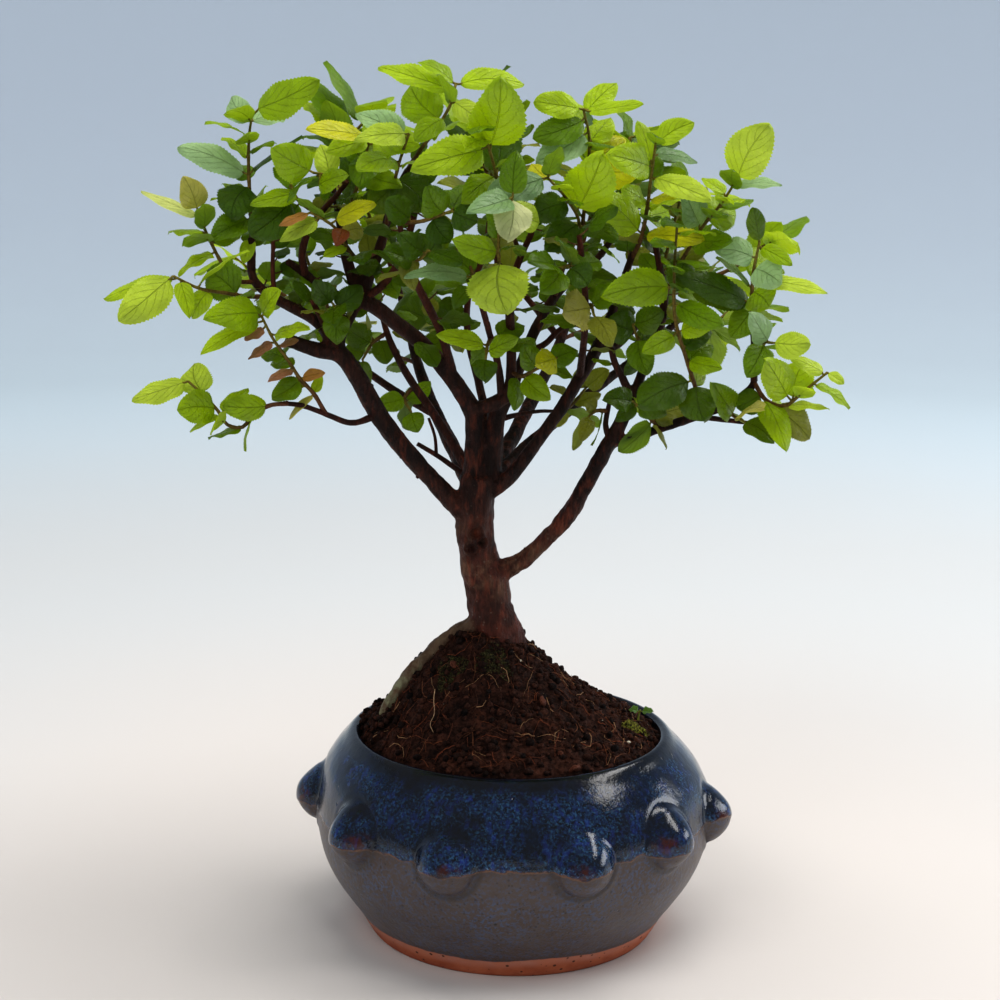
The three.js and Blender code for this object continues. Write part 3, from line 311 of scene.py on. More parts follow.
class Signal:
    """A number, mask or colour that changes over a surface; sums and products of it add nodes to its graph."""

    def __init__(self, graph: "Graph", socket: Socket) -> None:
        """Keeps the graph and the socket that gives the value."""
        self.graph = graph
        self.socket = socket

    def __add__(self, other: object) -> "Signal":
        """Returns the sum with another value."""
        return self.graph.math("ADD", self, other)

    def __sub__(self, other: object) -> "Signal":
        """Returns the difference from another value."""
        return self.graph.math("SUBTRACT", self, other)

    def __mul__(self, other: object) -> "Signal":
        """Returns the product with another value."""
        return self.graph.math("MULTIPLY", self, other)

    def spread(self, low: float, high: float, to_low: float = 0, to_high: float = 1) -> "Signal":
        """Returns the value eased from one range to another and held at its ends."""
        return self.graph.out("ShaderNodeMapRange", {0: self, 1: low, 2: high, 3: to_low, 4: to_high},
                              interpolation_type="SMOOTHSTEP")

    def mix(self, under: object, over: object) -> "Signal":
        """Returns a colour that gives way to another where this mask is."""
        return self.graph.mix(self, under, over)

    def scaled(self, share: object) -> "Signal":
        """Returns the colour made darker or lighter."""
        return self.graph.out("ShaderNodeVectorMath", {0: self, "Scale": share}, operation="SCALE")


class Graph:
    """A node tree that is written one call a node."""

    def __init__(self, tree: bpy.types.NodeTree) -> None:
        """Keeps the tree that the nodes go in."""
        self.tree = tree

    def node(self, kind: str, inputs: dict | None = None, **settings: object) -> bpy.types.Node:
        """Adds a node.

        Args:
            kind: its type name.
            inputs: values or signals for its inputs, by name or index.
            settings: its own properties.

        Returns:
            The node.
        """
        made = self.tree.nodes.new(kind)
        for name, value in settings.items():
            setattr(made, name, value)
        self.dress(made, inputs or {})
        return made

    def out(self, kind: str, inputs: dict | None = None, output: int | str = 0, **settings: object) -> Signal:
        """Adds a node and returns one of its outputs, the first unless output names another."""
        return Signal(self, self.node(kind, inputs, **settings).outputs[output])

    def dress(self, node: bpy.types.Node, inputs: dict) -> None:
        """Links each input to its signal, or sets its plain value."""
        for key, value in inputs.items():
            socket = node.inputs[key]
            if isinstance(value, Signal):
                self.tree.links.new(value.socket, socket)
            elif socket.type == "RGBA" and len(value) == 3:
                socket.default_value = (*value, 1)
            else:
                socket.default_value = value

    def math(self, operation: str, *values: object) -> Signal:
        """Returns the result of a Math node."""
        return self.out("ShaderNodeMath", dict(enumerate(values)), operation=operation)

    def mix(self, share: object, under: object, over: object) -> Signal:
        """Returns a colour between two, by a share of 0 to 1."""
        return self.out("ShaderNodeMix", {0: share, 6: under, 7: over}, 2, data_type="RGBA")

    def bump(self, height: Signal, distance: float, strength: float = 1) -> Signal:
        """Returns a normal that follows a height of 0 to 1, which stands for a distance in metres."""
        return self.out("ShaderNodeBump", {"Height": height, "Distance": distance, "Strength": strength})

    def tone(self) -> tuple[Signal, Signal]:
        """Returns the colour attribute of the surface and its fourth value."""
        made = self.node("ShaderNodeAttribute", attribute_name="tone")
        return Signal(self, made.outputs["Color"]), Signal(self, made.outputs["Alpha"])

    def where(self) -> Signal:
        """Returns the position in the frame, in metres."""
        return self.out("ShaderNodeTexCoord", output="Object")

    def parts(self, value: Signal, kind: str = "ShaderNodeSeparateXYZ") -> tuple[Signal, Signal, Signal]:
        """Returns the three parts of a vector, or of a colour when kind says so."""
        made = self.node(kind, {0: value})
        return tuple(Signal(self, made.outputs[index]) for index in range(3))


class Effect(Enum):
    """The node groups that more than one finish uses."""

    BLOTCHES = "blotches"
    SPECKS = "specks"
    GRIT = "grit"


class EffectShelf:
    """Builds each shared effect once and places it in materials."""

    def __init__(self) -> None:
        """Builds the three groups."""
        makers = {Effect.BLOTCHES: self._blotches, Effect.SPECKS: self._specks, Effect.GRIT: self._grit}
        self.groups = {effect: maker() for effect, maker in makers.items()}

    @staticmethod
    def _start(effect: Effect, inputs: dict[str, float]) -> tuple[Graph, dict[str, Signal]]:
        """Starts a group.

        Args:
            effect: what the group makes.
            inputs: its number inputs and what they start at.

        Returns:
            The graph and its inputs by name.
        """
        group = bpy.data.node_groups.new(effect.value, "ShaderNodeTree")
        for key, value in inputs.items():
            group.interface.new_socket(key, in_out="INPUT", socket_type="NodeSocketFloat").default_value = value
        graph = Graph(group)
        given = graph.node("NodeGroupInput").outputs
        return graph, {key: Signal(graph, given[key]) for key in inputs}

    @staticmethod
    def _end(graph: Graph, output: str, result: Signal) -> bpy.types.NodeTree:
        """Gives a group its one output and returns the group."""
        graph.tree.interface.new_socket(output, in_out="OUTPUT", socket_type="NodeSocketFloat")
        graph.node("NodeGroupOutput", {output: result})
        return graph.tree

    def _blotches(self) -> bpy.types.NodeTree:
        """Returns soft-edged patches: Size in metres, Cover as their share, Softness, Shift and how Tall they are."""
        graph, given = self._start(
            Effect.BLOTCHES, {"Size": 0.005, "Cover": 0.5, "Softness": 0.1, "Shift": 0.0, "Tall": 1.0})
        drawn_out = graph.out("ShaderNodeCombineXYZ", {0: 1.0, 1: 1.0, 2: given["Tall"]})
        shorter = graph.out("ShaderNodeVectorMath", {0: graph.where(), 1: drawn_out}, operation="DIVIDE")
        moved = graph.out("ShaderNodeVectorMath", {0: shorter, 1: given["Shift"]}, operation="ADD")
        scale = graph.math("DIVIDE", 1.0, given["Size"])
        value = graph.out("ShaderNodeTexNoise", {"Vector": moved, "Scale": scale, "Detail": 5.0, "Roughness": 0.62})
        middle = graph.out("ShaderNodeMapRange", {0: given["Cover"], 1: 0.0, 2: 1.0, 3: 0.72, 4: 0.28})
        return self._end(graph, "Mask", value.spread(middle - given["Softness"], middle + given["Softness"]))

    def _specks(self) -> bpy.types.NodeTree:
        """Returns small round marks: Spacing in metres, Radius as a share of it, and Share of the places used."""
        graph, given = self._start(Effect.SPECKS, {"Spacing": 0.002, "Radius": 0.25, "Share": 0.4})
        scale = graph.math("DIVIDE", 1.0, given["Spacing"])
        cells = graph.node("ShaderNodeTexVoronoi", {"Vector": graph.where(), "Scale": scale})
        draw, other_draw, _ = graph.parts(Signal(graph, cells.outputs["Color"]), "ShaderNodeSeparateColor")
        used = graph.math("LESS_THAN", draw, given["Share"])
        near = given["Radius"] * other_draw.spread(0, 1, 0.45, 1.3) - Signal(graph, cells.outputs["Distance"])
        return self._end(graph, "Mask", used * graph.out("ShaderNodeMapRange", {0: near, 1: 0.0, 2: 0.08}))

    def _grit(self) -> bpy.types.NodeTree:
        """Returns a height for a bump: Size of the coarse grain in metres and Fine as the share of fine grain."""
        graph, given = self._start(Effect.GRIT, {"Size": 0.002, "Fine": 0.4})
        scale = graph.math("DIVIDE", 1.0, given["Size"])
        coarse = graph.out("ShaderNodeTexNoise", {"Vector": graph.where(), "Scale": scale, "Detail": 3.0})
        fine = graph.out("ShaderNodeTexNoise", {"Vector": graph.where(), "Scale": scale * 5.3, "Detail": 2.0})
        return self._end(graph, "Height", coarse + fine * given["Fine"])

    def place(self, graph: Graph, effect: Effect, **values: object) -> Signal:
        """Returns an effect's result in a material.

        Args:
            graph: the material's graph.
            effect: which effect.
            values: its inputs by name, with the first letter small.
        """
        inputs = {key.capitalize(): value for key, value in values.items()}
        return graph.out("ShaderNodeGroup", inputs, node_tree=self.groups[effect])


SHELF = EffectShelf()


def blotches(graph: Graph, size: float, **values: object) -> Signal:
    """Returns a mask of soft patches of a size in metres, which cover half unless values say otherwise."""
    return SHELF.place(graph, Effect.BLOTCHES, size=size, **values)


def specks(graph: Graph, spacing: float, radius: float, share: float) -> Signal:
    """Returns a mask of small round marks, at a spacing in metres."""
    return SHELF.place(graph, Effect.SPECKS, spacing=spacing, radius=radius, share=share)


def start_material(name: str) -> tuple[Finish, Graph, bpy.types.Node]:
    """Returns a new material with its graph and its Principled node, which is linked to the output."""
    material = bpy.data.materials.new(name)
    material.use_nodes = True
    material.node_tree.nodes.clear()
    graph = Graph(material.node_tree)
    shader = graph.node("ShaderNodeBsdfPrincipled")
    graph.node("ShaderNodeOutputMaterial", {"Surface": Signal(graph, shader.outputs[0])})
    return material, graph, shader


@dataclass(frozen=True)
class Glaze:
    """The pot's finish: glossy mottled blue above, a thin satin glaze below and a bare clay foot."""

    night: Colour = linear(7, 10, 22)
    cobalt: Colour = linear(22, 43, 78)
    royal: Colour = linear(34, 54, 138)
    teal: Colour = linear(60, 104, 134)
    pale_blue: Colour = linear(96, 132, 168)
    rust: Colour = linear(64, 26, 18)
    ochre: Colour = linear(118, 80, 56)
    ink: Colour = linear(12, 10, 11)
    stone: Colour = linear(82, 71, 67)
    umber: Colour = linear(70, 54, 46)
    slate_blue: Colour = linear(66, 84, 116)
    clay: Colour = linear(188, 108, 72)
    clay_pink: Colour = linear(182, 124, 104)
    clay_dark: Colour = linear(152, 72, 42)
    foot_height: float = 0.0067

    def material(self) -> Finish:
        """Returns the finish. The mesh gives glaze line, stud tip, lip and the painted shade of the crease round each
        stud in its tone attribute.
        """
        material, graph, shader = start_material("studded_pot_glaze")
        tone, hollow = graph.tone()
        line, tip, lip = graph.parts(tone, "ShaderNodeSeparateColor")
        edge = line + blotches(graph, 0.004, softness=0.3, shift=0.31).spread(0, 1, -0.05, 0.05)
        near = edge.spread(0.46, 0.56) * edge.spread(1, 0.6)
        glossy = edge.spread(0.47, 0.53)
        broken = blotches(graph, 0.007, softness=0.2, shift=0.44, cover=0.6)
        seam = edge.spread(0.42, 0.49) * edge.spread(0.56, 0.5)
        under = edge.spread(0.18, 0.45) * edge.spread(0.52, 0.48)
        body = glossy.mix(self._lower(graph), self._upper(graph, tip, lip, near))
        body = (under * broken * 0.6).mix(body, self.umber)
        body = (seam * broken * 0.7).mix(body, self.ochre)
        body = (specks(graph, 0.0042, 0.13, 0.2) * 0.85).mix(body, self.ink)
        # Painted shade: a dark ring in the crease round each stud
        body = (hollow * 0.45).mix(body, self.ink)
        wavy = blotches(graph, 0.03, softness=0.4, shift=0.7)
        band = graph.parts(graph.where())[2] + wavy.spread(0, 1, -0.0009, 0.0009)
        bare = band.spread(self.foot_height + 0.0002, self.foot_height - 0.0002)
        rim = band.spread(self.foot_height + 0.0022, self.foot_height + 0.0003) * bare.spread(1, 0)
        body = (rim * 0.6).mix(body, self.umber)
        grit = SHELF.place(graph, Effect.GRIT, size=0.003, fine=0.5)
        pits = specks(graph, 0.0036, 0.14, 0.4)
        relief = grit * glossy.spread(0, 1, 1, 0.5) - pits * 1.2
        graph.dress(shader, {
            "Base Color": bare.mix(body, self._clay(graph, band)),
            "Roughness": glossy.spread(0, 1, 0.36, 0.1) + bare * 0.5,
            "IOR": 1.52,
            "Normal": graph.bump(relief, 0.00018),
        })
        return material

    def _upper(self, graph: Graph, tip: Signal, lip: Signal, near: Signal) -> Signal:
        """Returns the glossy glaze's colour, teal by its edge and brown where it is thin on the lip and stud tips."""
        flow = blotches(graph, 0.012, softness=0.3, shift=0.05)
        dense = graph.math("MAXIMUM", flow, near)
        fine = blotches(graph, 0.0011, softness=0.12, shift=0.4)
        teal_grain = blotches(graph, 0.0008, softness=0.08, shift=0.9, cover=0.34)
        pale_grain = blotches(graph, 0.0006, softness=0.05, shift=0.6, cover=0.2)
        blue = (fine * dense.spread(0, 1, 0.2, 1)).mix(self.night, self.cobalt)
        blue = (teal_grain * dense.spread(0, 1, 0, 0.6)).mix(blue, self.teal)
        blue = (pale_grain * near.spread(0, 1, 0.05, 0.7)).mix(blue, self.pale_blue)
        broken = blotches(graph, 0.0035, softness=0.12, shift=0.55)
        blue = (tip * broken.spread(0, 1, 0.15, 1)).mix(blue, self.rust)
        veined = blotches(graph, 0.0024, softness=0.08, shift=0.17, cover=0.3, tall=2.5)
        blue = (veined * (flow * 0.5)).mix(blue, self.royal)
        dark = blotches(graph, 0.013, softness=0.1, shift=0.22, cover=0.34)
        return graph.math("MAXIMUM", lip * 0.85, dark * 0.7).mix(blue, self.ink)

    def _lower(self, graph: Graph) -> Signal:
        """Returns the thin glaze's colour under the studs."""
        warm = blotches(graph, 0.016, softness=0.25, shift=0.63).mix(self.stone, self.umber)
        zone = blotches(graph, 0.02, softness=0.3, shift=0.28)
        blue = blotches(graph, 0.0011, softness=0.1, shift=0.12, cover=0.42)
        speckled = (blue * zone.spread(0, 1, 0.25, 0.85)).mix(warm, self.slate_blue)
        return (specks(graph, 0.0011, 0.3, 0.4) * 0.45).mix(speckled, self.ink)

    def _clay(self, graph: Graph, band: Signal) -> Signal:
        """Returns the bare foot's colour, pinker towards the glaze."""
        patch = blotches(graph, 0.009, softness=0.3, shift=0.15)
        bloom = band.spread(0.0024, 0.006) * patch.spread(0, 1, 0.4, 1)
        clay = bloom.mix(patch.mix(self.clay, self.clay_dark), self.clay_pink)
        return (specks(graph, 0.002, 0.24, 0.38) * 0.8).mix(clay, self.ink)


@dataclass(frozen=True)
class Bark:
    """The wood's finish: red-brown bark that darkens up the limbs, with a paler lichened root."""

    red: Colour = linear(98, 48, 35)
    brown: Colour = linear(64, 36, 28)
    dark: Colour = linear(32, 18, 15)
    rust: Colour = linear(126, 62, 42)
    tan: Colour = linear(128, 92, 70)
    grey: Colour = linear(128, 114, 100)
    root: Colour = linear(102, 80, 62)
    lichen: Colour = linear(136, 134, 104)
    knot: Colour = linear(150, 74, 46)

    def material(self) -> Finish:
        """Returns the finish. The mesh gives root, new growth, knots and dark scars in its tone attribute."""
        material, graph, shader = start_material("bonsai_bark")
        tone, scar = graph.tone()
        root, young, knot = graph.parts(tone, "ShaderNodeSeparateColor")
        height = graph.parts(graph.where())[2]
        patches = blotches(graph, 0.007, softness=0.14, shift=0.1)
        fibres = blotches(graph, 0.0008, softness=0.12, shift=0.5, tall=6.0)
        flakes = blotches(graph, 0.0028, softness=0.1, shift=0.6, cover=0.42, tall=2.5)
        pale = blotches(graph, 0.008, softness=0.1, shift=0.77, cover=0.46)
        band = height.spread(0.106, 0.114) * height.spread(0.137, 0.128)
        trunk = (pale * band * 0.75).mix(patches.mix(self.red, self.brown), self.tan)
        bark = height.spread(0.12, 0.15).mix(trunk, flakes.mix(self.dark, self.brown))
        glow = blotches(graph, 0.0026, softness=0.08, shift=0.8, cover=0.32, tall=3.5)
        bark = (glow * height.spread(0.21, 0.11, 0.25, 0.7)).mix(bark, self.rust)
        bark = young.mix(bark, flakes.mix(self.rust, self.red))
        bark = (fibres * 0.45).mix(bark, self.dark)
        bark = (specks(graph, 0.0011, 0.26, 0.3) * height.spread(0.15, 0.11, 0.08, 0.4)).mix(bark, self.grey)
        moist = blotches(graph, 0.004, softness=0.12, shift=0.33, cover=0.55)
        bare_root = (moist * height.spread(0.092, 0.08, 0.1, 0.9)).mix(self.root, self.lichen)
        bark = root.mix(bark, (flakes * 0.5).mix(bare_root, self.brown))
        relief = SHELF.place(graph, Effect.GRIT, size=0.0018, fine=0.6) - fibres * 0.5
        graph.dress(shader, {
            "Base Color": knot.mix(scar.mix(bark, self.dark), self.knot),
            "Roughness": patches.spread(0, 1, 0.44, 0.66),
            "Specular IOR Level": 0.28,
            "Normal": graph.bump(relief, 0.0005),
        })
        return material


@dataclass(frozen=True)
class LeafSkin:
    """The finish of leaves, which takes each leaf's own colour from the mesh."""

    name: str
    roughness: float = 0.27
    glow: float = 0.34
    spot: Colour = linear(96, 62, 30)
    underside: Colour = linear(150, 176, 110)
    light_through: Colour = linear(186, 204, 8)

    def material(self) -> Finish:
        """Returns the finish. The mesh gives the leaf's colour, its own draw, and across and along on the blade."""
        material, graph, shader = start_material(self.name)
        tone, draw = graph.tone()
        across, along, _ = graph.parts(graph.out("ShaderNodeUVMap", uv_map="place"))
        side = graph.math("ABSOLUTE", across - 0.5)
        cloud = blotches(graph, 0.006, softness=0.3, shift=draw)
        fine = blotches(graph, 0.0014, softness=0.3, shift=0.2)
        patch = cloud * 0.7 + fine * 0.3
        light = tone.scaled(1.15)
        veins = self._veins(graph, side, along)
        blade = (veins * 0.75).mix(patch.mix(tone.scaled(0.62), light), tone.scaled(0.36))
        blade = (side.spread(0.44, 0.5) * 0.4).mix(blade, light)
        blade = (specks(graph, 0.004, 0.14, 0.07) * 0.7).mix(blade, self.spot)
        behind = graph.out("ShaderNodeNewGeometry", output="Backfacing")
        normal = graph.bump(fine * 0.35 - veins, 0.0004, 0.9)
        graph.dress(shader, {
            "Base Color": behind.mix(blade, graph.mix(0.22, blade, self.underside)),
            "Roughness": patch.spread(0, 1, self.roughness + 0.08, self.roughness - 0.06) + behind * 0.2,
            "Specular IOR Level": 0.62,
            "Normal": normal,
        })
        through = graph.out("ShaderNodeBsdfTranslucent", {
            "Color": graph.mix(0.3, light, self.light_through), "Normal": normal})
        both = graph.out("ShaderNodeMixShader", {0: self.glow, 1: Signal(graph, shader.outputs[0]), 2: through})
        graph.dress(material.node_tree.get_output_node("ALL"), {"Surface": both})
        return material

    @staticmethod
    def _veins(graph: Graph, side: Signal, along: Signal) -> Signal:
        """Returns the mask of the midrib and of five pairs of side veins that run forward to the edge."""
        curve = graph.math("POWER", side, 1.25) * 1.15
        off = graph.math("ABSOLUTE", graph.math("FRACT", (along - curve) * 5.2) - 0.5)
        fade = side.spread(0.49, 0.3) * along.spread(0.02, 0.12)
        return graph.math("MAXIMUM", side.spread(0.022, 0.006), off.spread(0.07, 0.02) * fade * 0.42)


@dataclass(frozen=True)
class PlainMatter:
    """A rough natural finish that takes its colour from the mesh's tone attribute."""

    name: str
    roughness: float = 0.9
    grain: float = 0.0011
    relief: float = 0.0004
    contrast: float = 0.55
    shine: float = 0.25

    def material(self, colour: Callable[[Graph], Signal] | None = None) -> Finish:
        """Returns the finish.

        Args:
            colour: makes the colour where the mesh has no tone attribute.
        """
        material, graph, shader = start_material(self.name)
        fine = blotches(graph, self.grain, softness=0.1, shift=0.6)
        if colour is None:
            patches = blotches(graph, self.grain * 4, softness=0.16, shift=0.4)
            shade = (patches * 0.5 + fine * 0.5).spread(0, 1, 1 - self.contrast, 1 + self.contrast)
            tone = graph.tone()[0].scaled(shade)
        else:
            tone = colour(graph)
        graph.dress(shader, {
            "Base Color": tone,
            "Roughness": fine.spread(0, 1, self.roughness, self.roughness - 0.15),
            "Specular IOR Level": self.shine,
            "Normal": graph.bump(SHELF.place(graph, Effect.GRIT, size=self.grain, fine=0.6), self.relief),
        })
        return material


class Tone(Enum):
    """The leaf colours that the tree shows, from fresh growth to ageing leaves; the darker greens also paint the
    shade inside the crown, and the pale ones paint sheen.
    """

    BRIGHT = linear(150, 178, 16)
    LIME = linear(178, 204, 30)
    PALE_LIME = linear(192, 212, 66)
    YELLOW = linear(214, 210, 34)
    PALE_YELLOW = linear(214, 220, 130)
    OCHRE = linear(190, 180, 90)
    # The three darker greens below are darker copies of one green, and they also paint the shade inside the crown
    MID = linear(106, 138, 12)
    DARK = linear(68, 98, 12)
    DEEP = linear(48, 72, 12)
    # Painted sheen: these two pale greens are partly leaf colour and partly the white sheen of glossy leaves painted
    # in
    GREY_GREEN = linear(130, 160, 110)
    PALE = linear(165, 195, 140)
    CREAM = linear(215, 215, 160)
    OLIVE = linear(130, 130, 50)
    ORANGE = linear(190, 130, 70)
    RUSSET = linear(170, 110, 90)
    RED = linear(140, 60, 45)


(BRIGHT, LIME, PALE_LIME, YELLOW, PALE_YELLOW, OCHRE, MID, DARK, DEEP, GREY_GREEN, PALE, CREAM, OLIVE, ORANGE, RUSSET,
 RED) = Tone


@dataclass(frozen=True)
class Shoot:
    """One shoot: its stem, and either its leaves as read from the front or a rule that grows them.

    A leaf row is base x, base height, tip x, tip height, lean in depth, width, squareness to the front, and tone.
    """

    stem: tuple[Row, ...]
    leaves: tuple[tuple, ...] = ()
    count: int = 0
    size: float = 20
    turn: float = 0.0


# Wood: each branch is a list of x, height, depth and radius
TRUNK = (
    (-3, 84, 0, 10.2), (-4, 95, 0, 8.6), (-6.6, 104, 0, 7.2), (-7.8, 111, 0, 6.8), (-10.2, 119, 0, 6.3),
    (-11.5, 127, 0, 6.1), (-11.7, 136, 0, 6.2), (-11, 147, 0, 5.4),
)
LIMBS = (
    ((-11.8, 143, 0, 4.2), (-12.2, 152, 0, 3.1), (-12.3, 161, -1, 2.9), (-12.5, 169, -1, 2.8)),
    ((-9, 143, 1, 4.2), (-6.8, 152, 1, 3.4), (-6, 161, 1, 3.1), (-5, 170, 1, 2.6)),
    ((-14.5, 168, -2, 2), (-10, 168.5, -3, 2.2), (-5, 170.5, -3, 2.4), (-0.5, 173.5, -3, 1.8)),
    ((-7, 115, 0, 3.6), (-1, 117.5, 0, 3.2), (5, 121.3, -1, 2.8), (10, 126, -2, 2.7), (15, 131.8, -3, 2.7),
     (20, 139.5, -4, 2.6), (24.5, 148, -5, 2.6), (29, 156.5, -6, 2.6), (32.5, 163, -7, 2.3), (36.5, 172.5, -8, 1.9)),
    ((36.5, 172, -8, 1.6), (39, 179, -8, 1.6), (41, 186, -9, 1.6), (44.5, 195, -10, 1.6), (45.5, 204, -11, 1.3),
     (44, 212, -12, 1.1), (42, 221, -13, 0.9)),
    ((31, 158.5, -6, 1.9), (36, 159, -8, 1.6), (45, 162.5, -11, 1.5), (54, 165.8, -14, 1.5), (60, 168, -16, 1.5),
     (66, 170.5, -18, 1.6), (71, 173.5, -19, 1.5), (74, 178, -20, 1.1), (73.5, 186, -20, 0.9), (73, 195, -20, 0.8)),
    ((-9, 141, -1, 3), (-3, 144.8, -1, 2.4), (0.5, 148.6, -1, 2.2), (5, 154.6, -1, 2.2), (10, 161.8, -1, 2.1),
     (15, 169.3, -1, 2.1), (20, 178, -1, 2), (24.5, 186, -1, 2), (27.5, 193, -2, 1.7), (30, 200, -4, 1.4),
     (33, 209, -7, 1.2), (35.5, 217, -10, 1)),
    ((26, 188, -1, 1.7), (31, 188.8, 0, 1.7), (35, 192.5, 1, 1.4), (39, 197, 3, 1.1), (42, 204, 6, 0.9)),
    ((-4.5, 166, 1, 2), (-1, 174, 3, 1.9), (2.5, 184, 5, 1.8), (7, 195, 7, 1.7), (12, 203.5, 9, 1.6),
     (18, 210, 11, 1.4), (24, 214.5, 13, 1.1), (29, 221, 14, 0.9)),
    ((-11, 133, 0, 4.6), (-17.5, 137.5, -1, 3.5), (-23, 143, -2, 3), (-28.5, 149, -3, 2.9), (-33.5, 154.5, -4, 2.9),
     (-38, 160, -5, 2.9), (-42.5, 166.5, -6, 3), (-46, 173, -7, 2.9), (-49.5, 179, -8, 2.9), (-54, 184.5, -9, 2.8),
     (-60, 185.6, -10, 2.4), (-65.5, 187.2, -11, 2.2), (-70.8, 189, -12, 2)),
    ((-54.5, 185, -9, 2.2), (-53.8, 190, -8, 1.8), (-51, 195.5, -6, 1.6), (-48.5, 200.5, -4, 1.6)),
    ((-55.5, 185.5, -9, 2), (-58.5, 191.5, -9, 1.8), (-62.5, 195.5, -9, 1.8), (-69, 199, -9, 1.7),
     (-74.5, 202, -8, 1.6), (-79, 205.5, -7, 1.5), (-81, 210, -6, 1.4), (-80.8, 220, -5, 1.2)),
    ((-12.3, 166, -1, 2.9), (-15.5, 172, -2, 2.8), (-20, 178.3, -3, 2.7), (-25, 184.3, -4, 2.6),
     (-30, 189.3, -5, 2.5), (-36, 194, -5, 2.4), (-42, 198.6, -5, 2.4), (-47.5, 201.8, -4, 2.6)),
    ((-47.5, 201.5, -4, 2), (-53, 202, -4, 1.6), (-58.5, 204.8, -4, 1.5), (-63, 208, -4, 1.4),
     (-66.5, 210.6, -3, 1.2), (-70, 213, -2, 1)),
    ((-47.5, 202, -4, 2.4), (-50, 208, -3, 2), (-52, 214.5, -2, 1.7), (-53.5, 222, -2, 1.3), (-55, 231, -1, 1),
     (-57, 240, 0, 0.8)),
    ((-47.5, 202, -4, 2.4), (-45, 209, -3, 2), (-42, 216.5, -3, 1.7), (-40, 224, -4, 1.3), (-37.5, 233, -6, 1.1),
     (-33.5, 241, -9, 0.9)),
    ((-10, 138, 4, 3.4), (-16, 150, 16, 2.6), (-24, 166, 30, 2.2), (-30, 182, 42, 1.8), (-34, 198, 52, 1.3),
     (-38, 212, 58, 0.9)),
    ((-8, 143, 4, 3.2), (-2, 156, 16, 2.6), (6, 172, 30, 2.2), (14, 190, 42, 1.7), (18, 206, 50, 1.2),
     (20, 220, 54, 0.9)),
    ((-6, 147, 4, 2.4), (8, 160, 14, 2), (24, 174, 24, 1.7), (40, 187, 32, 1.4), (52, 199, 38, 1),
     (58, 210, 42, 0.8)),
)
TWIGS = (
    ((-2.5, 171, -3, 2), (-1.2, 178, -4, 1.7), (-1.2, 188, -6, 1.5), (-1.8, 199, -10, 1.4), (-1, 208, -12, 1.2),
     (1.5, 216, -13, 1), (4.5, 223, -14, 0.9), (5, 231, -15, 0.8)),
    ((-4, 172, -3, 1.3), (-5, 181, -7, 1.1), (-7.5, 190, -13, 1), (-9.8, 198, -19, 0.95), (-12.8, 207.5, -25, 0.9),
     (-15, 216, -29, 0.8)),
    ((-45.5, 202.5, -5, 1.3), (-41, 206, -8, 1.2), (-37, 211.5, -11, 1.1), (-34, 218.5, -13, 1.1),
     (-31.6, 226.5, -15, 1.05), (-30, 235.5, -17, 1)),
    ((36.5, 172, -8, 1.4), (33.5, 178, -10, 1.2), (30.5, 184, -12, 1), (29, 191, -13, 0.8)),
    ((58, 166.5, -15, 0.9), (66, 165.6, -17, 0.8), (73, 164.8, -18, 0.6)),
    ((30.5, 158, -6, 1.2), (28.5, 163, -7, 0.9), (29, 168, -7, 0.8), (30, 173, -7, 0.6)),
    ((20, 178, -1, 1.3), (21, 188, -10, 1.1), (21.5, 199, -20, 1), (20.5, 211, -29, 0.9), (19, 222, -35, 0.8)),
    ((3.5, 186, 5, 1.1), (9, 188.5, 6, 1), (13, 192.5, 7, 0.9), (17, 195.5, 8, 0.7)),
    ((-4, 165, 2, 1), (2, 166.6, 4, 0.7), (8, 167.6, 6, 0.6), (14, 167.6, 8, 0.5)),
    ((-57, 188, -9, 1.1), (-59.5, 195, -11, 1), (-62.5, 201, -13, 0.8)),
    ((-74, 202.5, -8, 0.8), (-74.5, 210, -7, 0.7), (-74.3, 219, -6, 0.6)),
    ((-43, 165.5, -7, 1.3), (-47.5, 163.6, -9, 1), (-51.5, 163.2, -11, 0.9), (-56, 164.8, -13, 0.9),
     (-61, 166.8, -15, 0.8), (-66, 168.4, -17, 0.8), (-71.5, 169, -19, 0.7)),
    ((-64.5, 209, -4, 1.2), (-65.5, 215, -5, 1.2), (-63.8, 221.5, -6, 1.1), (-60, 227.5, -8, 0.9),
     (-55.5, 232.5, -10, 0.8), (-51.5, 237.5, -12, 0.7)),
    ((-19, 178, -3, 1.6), (-20.5, 184, -6, 1.4), (-23, 192, -11, 1.3), (-27, 200, -17, 1.3), (-31, 208, -23, 1.1),
     (-34, 217, -28, 0.9), (-36, 226, -32, 0.8)),
    ((-14, 149, 3, 1.8), (-20.5, 159.5, 6, 1.5), (-26, 168, 9, 1.3), (-31, 175, 12, 1.3), (-35.5, 182.5, 15, 1.2),
     (-39.5, 191.5, 18, 1), (-42, 201, 20, 0.8)),
    ((-14, 146.5, 4, 1.1), (-18.5, 149.5, 5, 0.9), (-24, 153.3, 6, 0.8), (-30, 156.8, 7, 0.7)),
    ((-24, 153, 6, 0.6), (-24.5, 159, 7, 0.5), (-26.5, 165, 8, 0.45)),
    ((-7, 158, 4, 1.6), (-11, 176, 14, 1.3), (-14.5, 190, 20, 1.1), (-14.5, 203, 24, 1), (-10, 216, 27, 0.9),
     (-8, 230, 28, 0.8)),
    ((-24, 166, 30, 1.6), (-38, 174, 36, 1.3), (-54, 186, 40, 1.1), (-66, 200, 42, 0.8)),
    ((14, 190, 42, 1.2), (4, 202, 54, 1), (-6, 214, 62, 0.8)),
)
EXPOSED_ROOT = (
    (-8, 100, -1, 4.2), (-14, 97.5, -2, 2.9), (-20, 93.6, -3, 2.6), (-25, 89.4, -4, 2.4), (-29.5, 84.6, -5, 2.5),
    (-33, 80, -6, 2.3), (-36.5, 75, -7, 2.2), (-40, 69, -8, 1.9), (-41, 62, -9, 1.4),
)
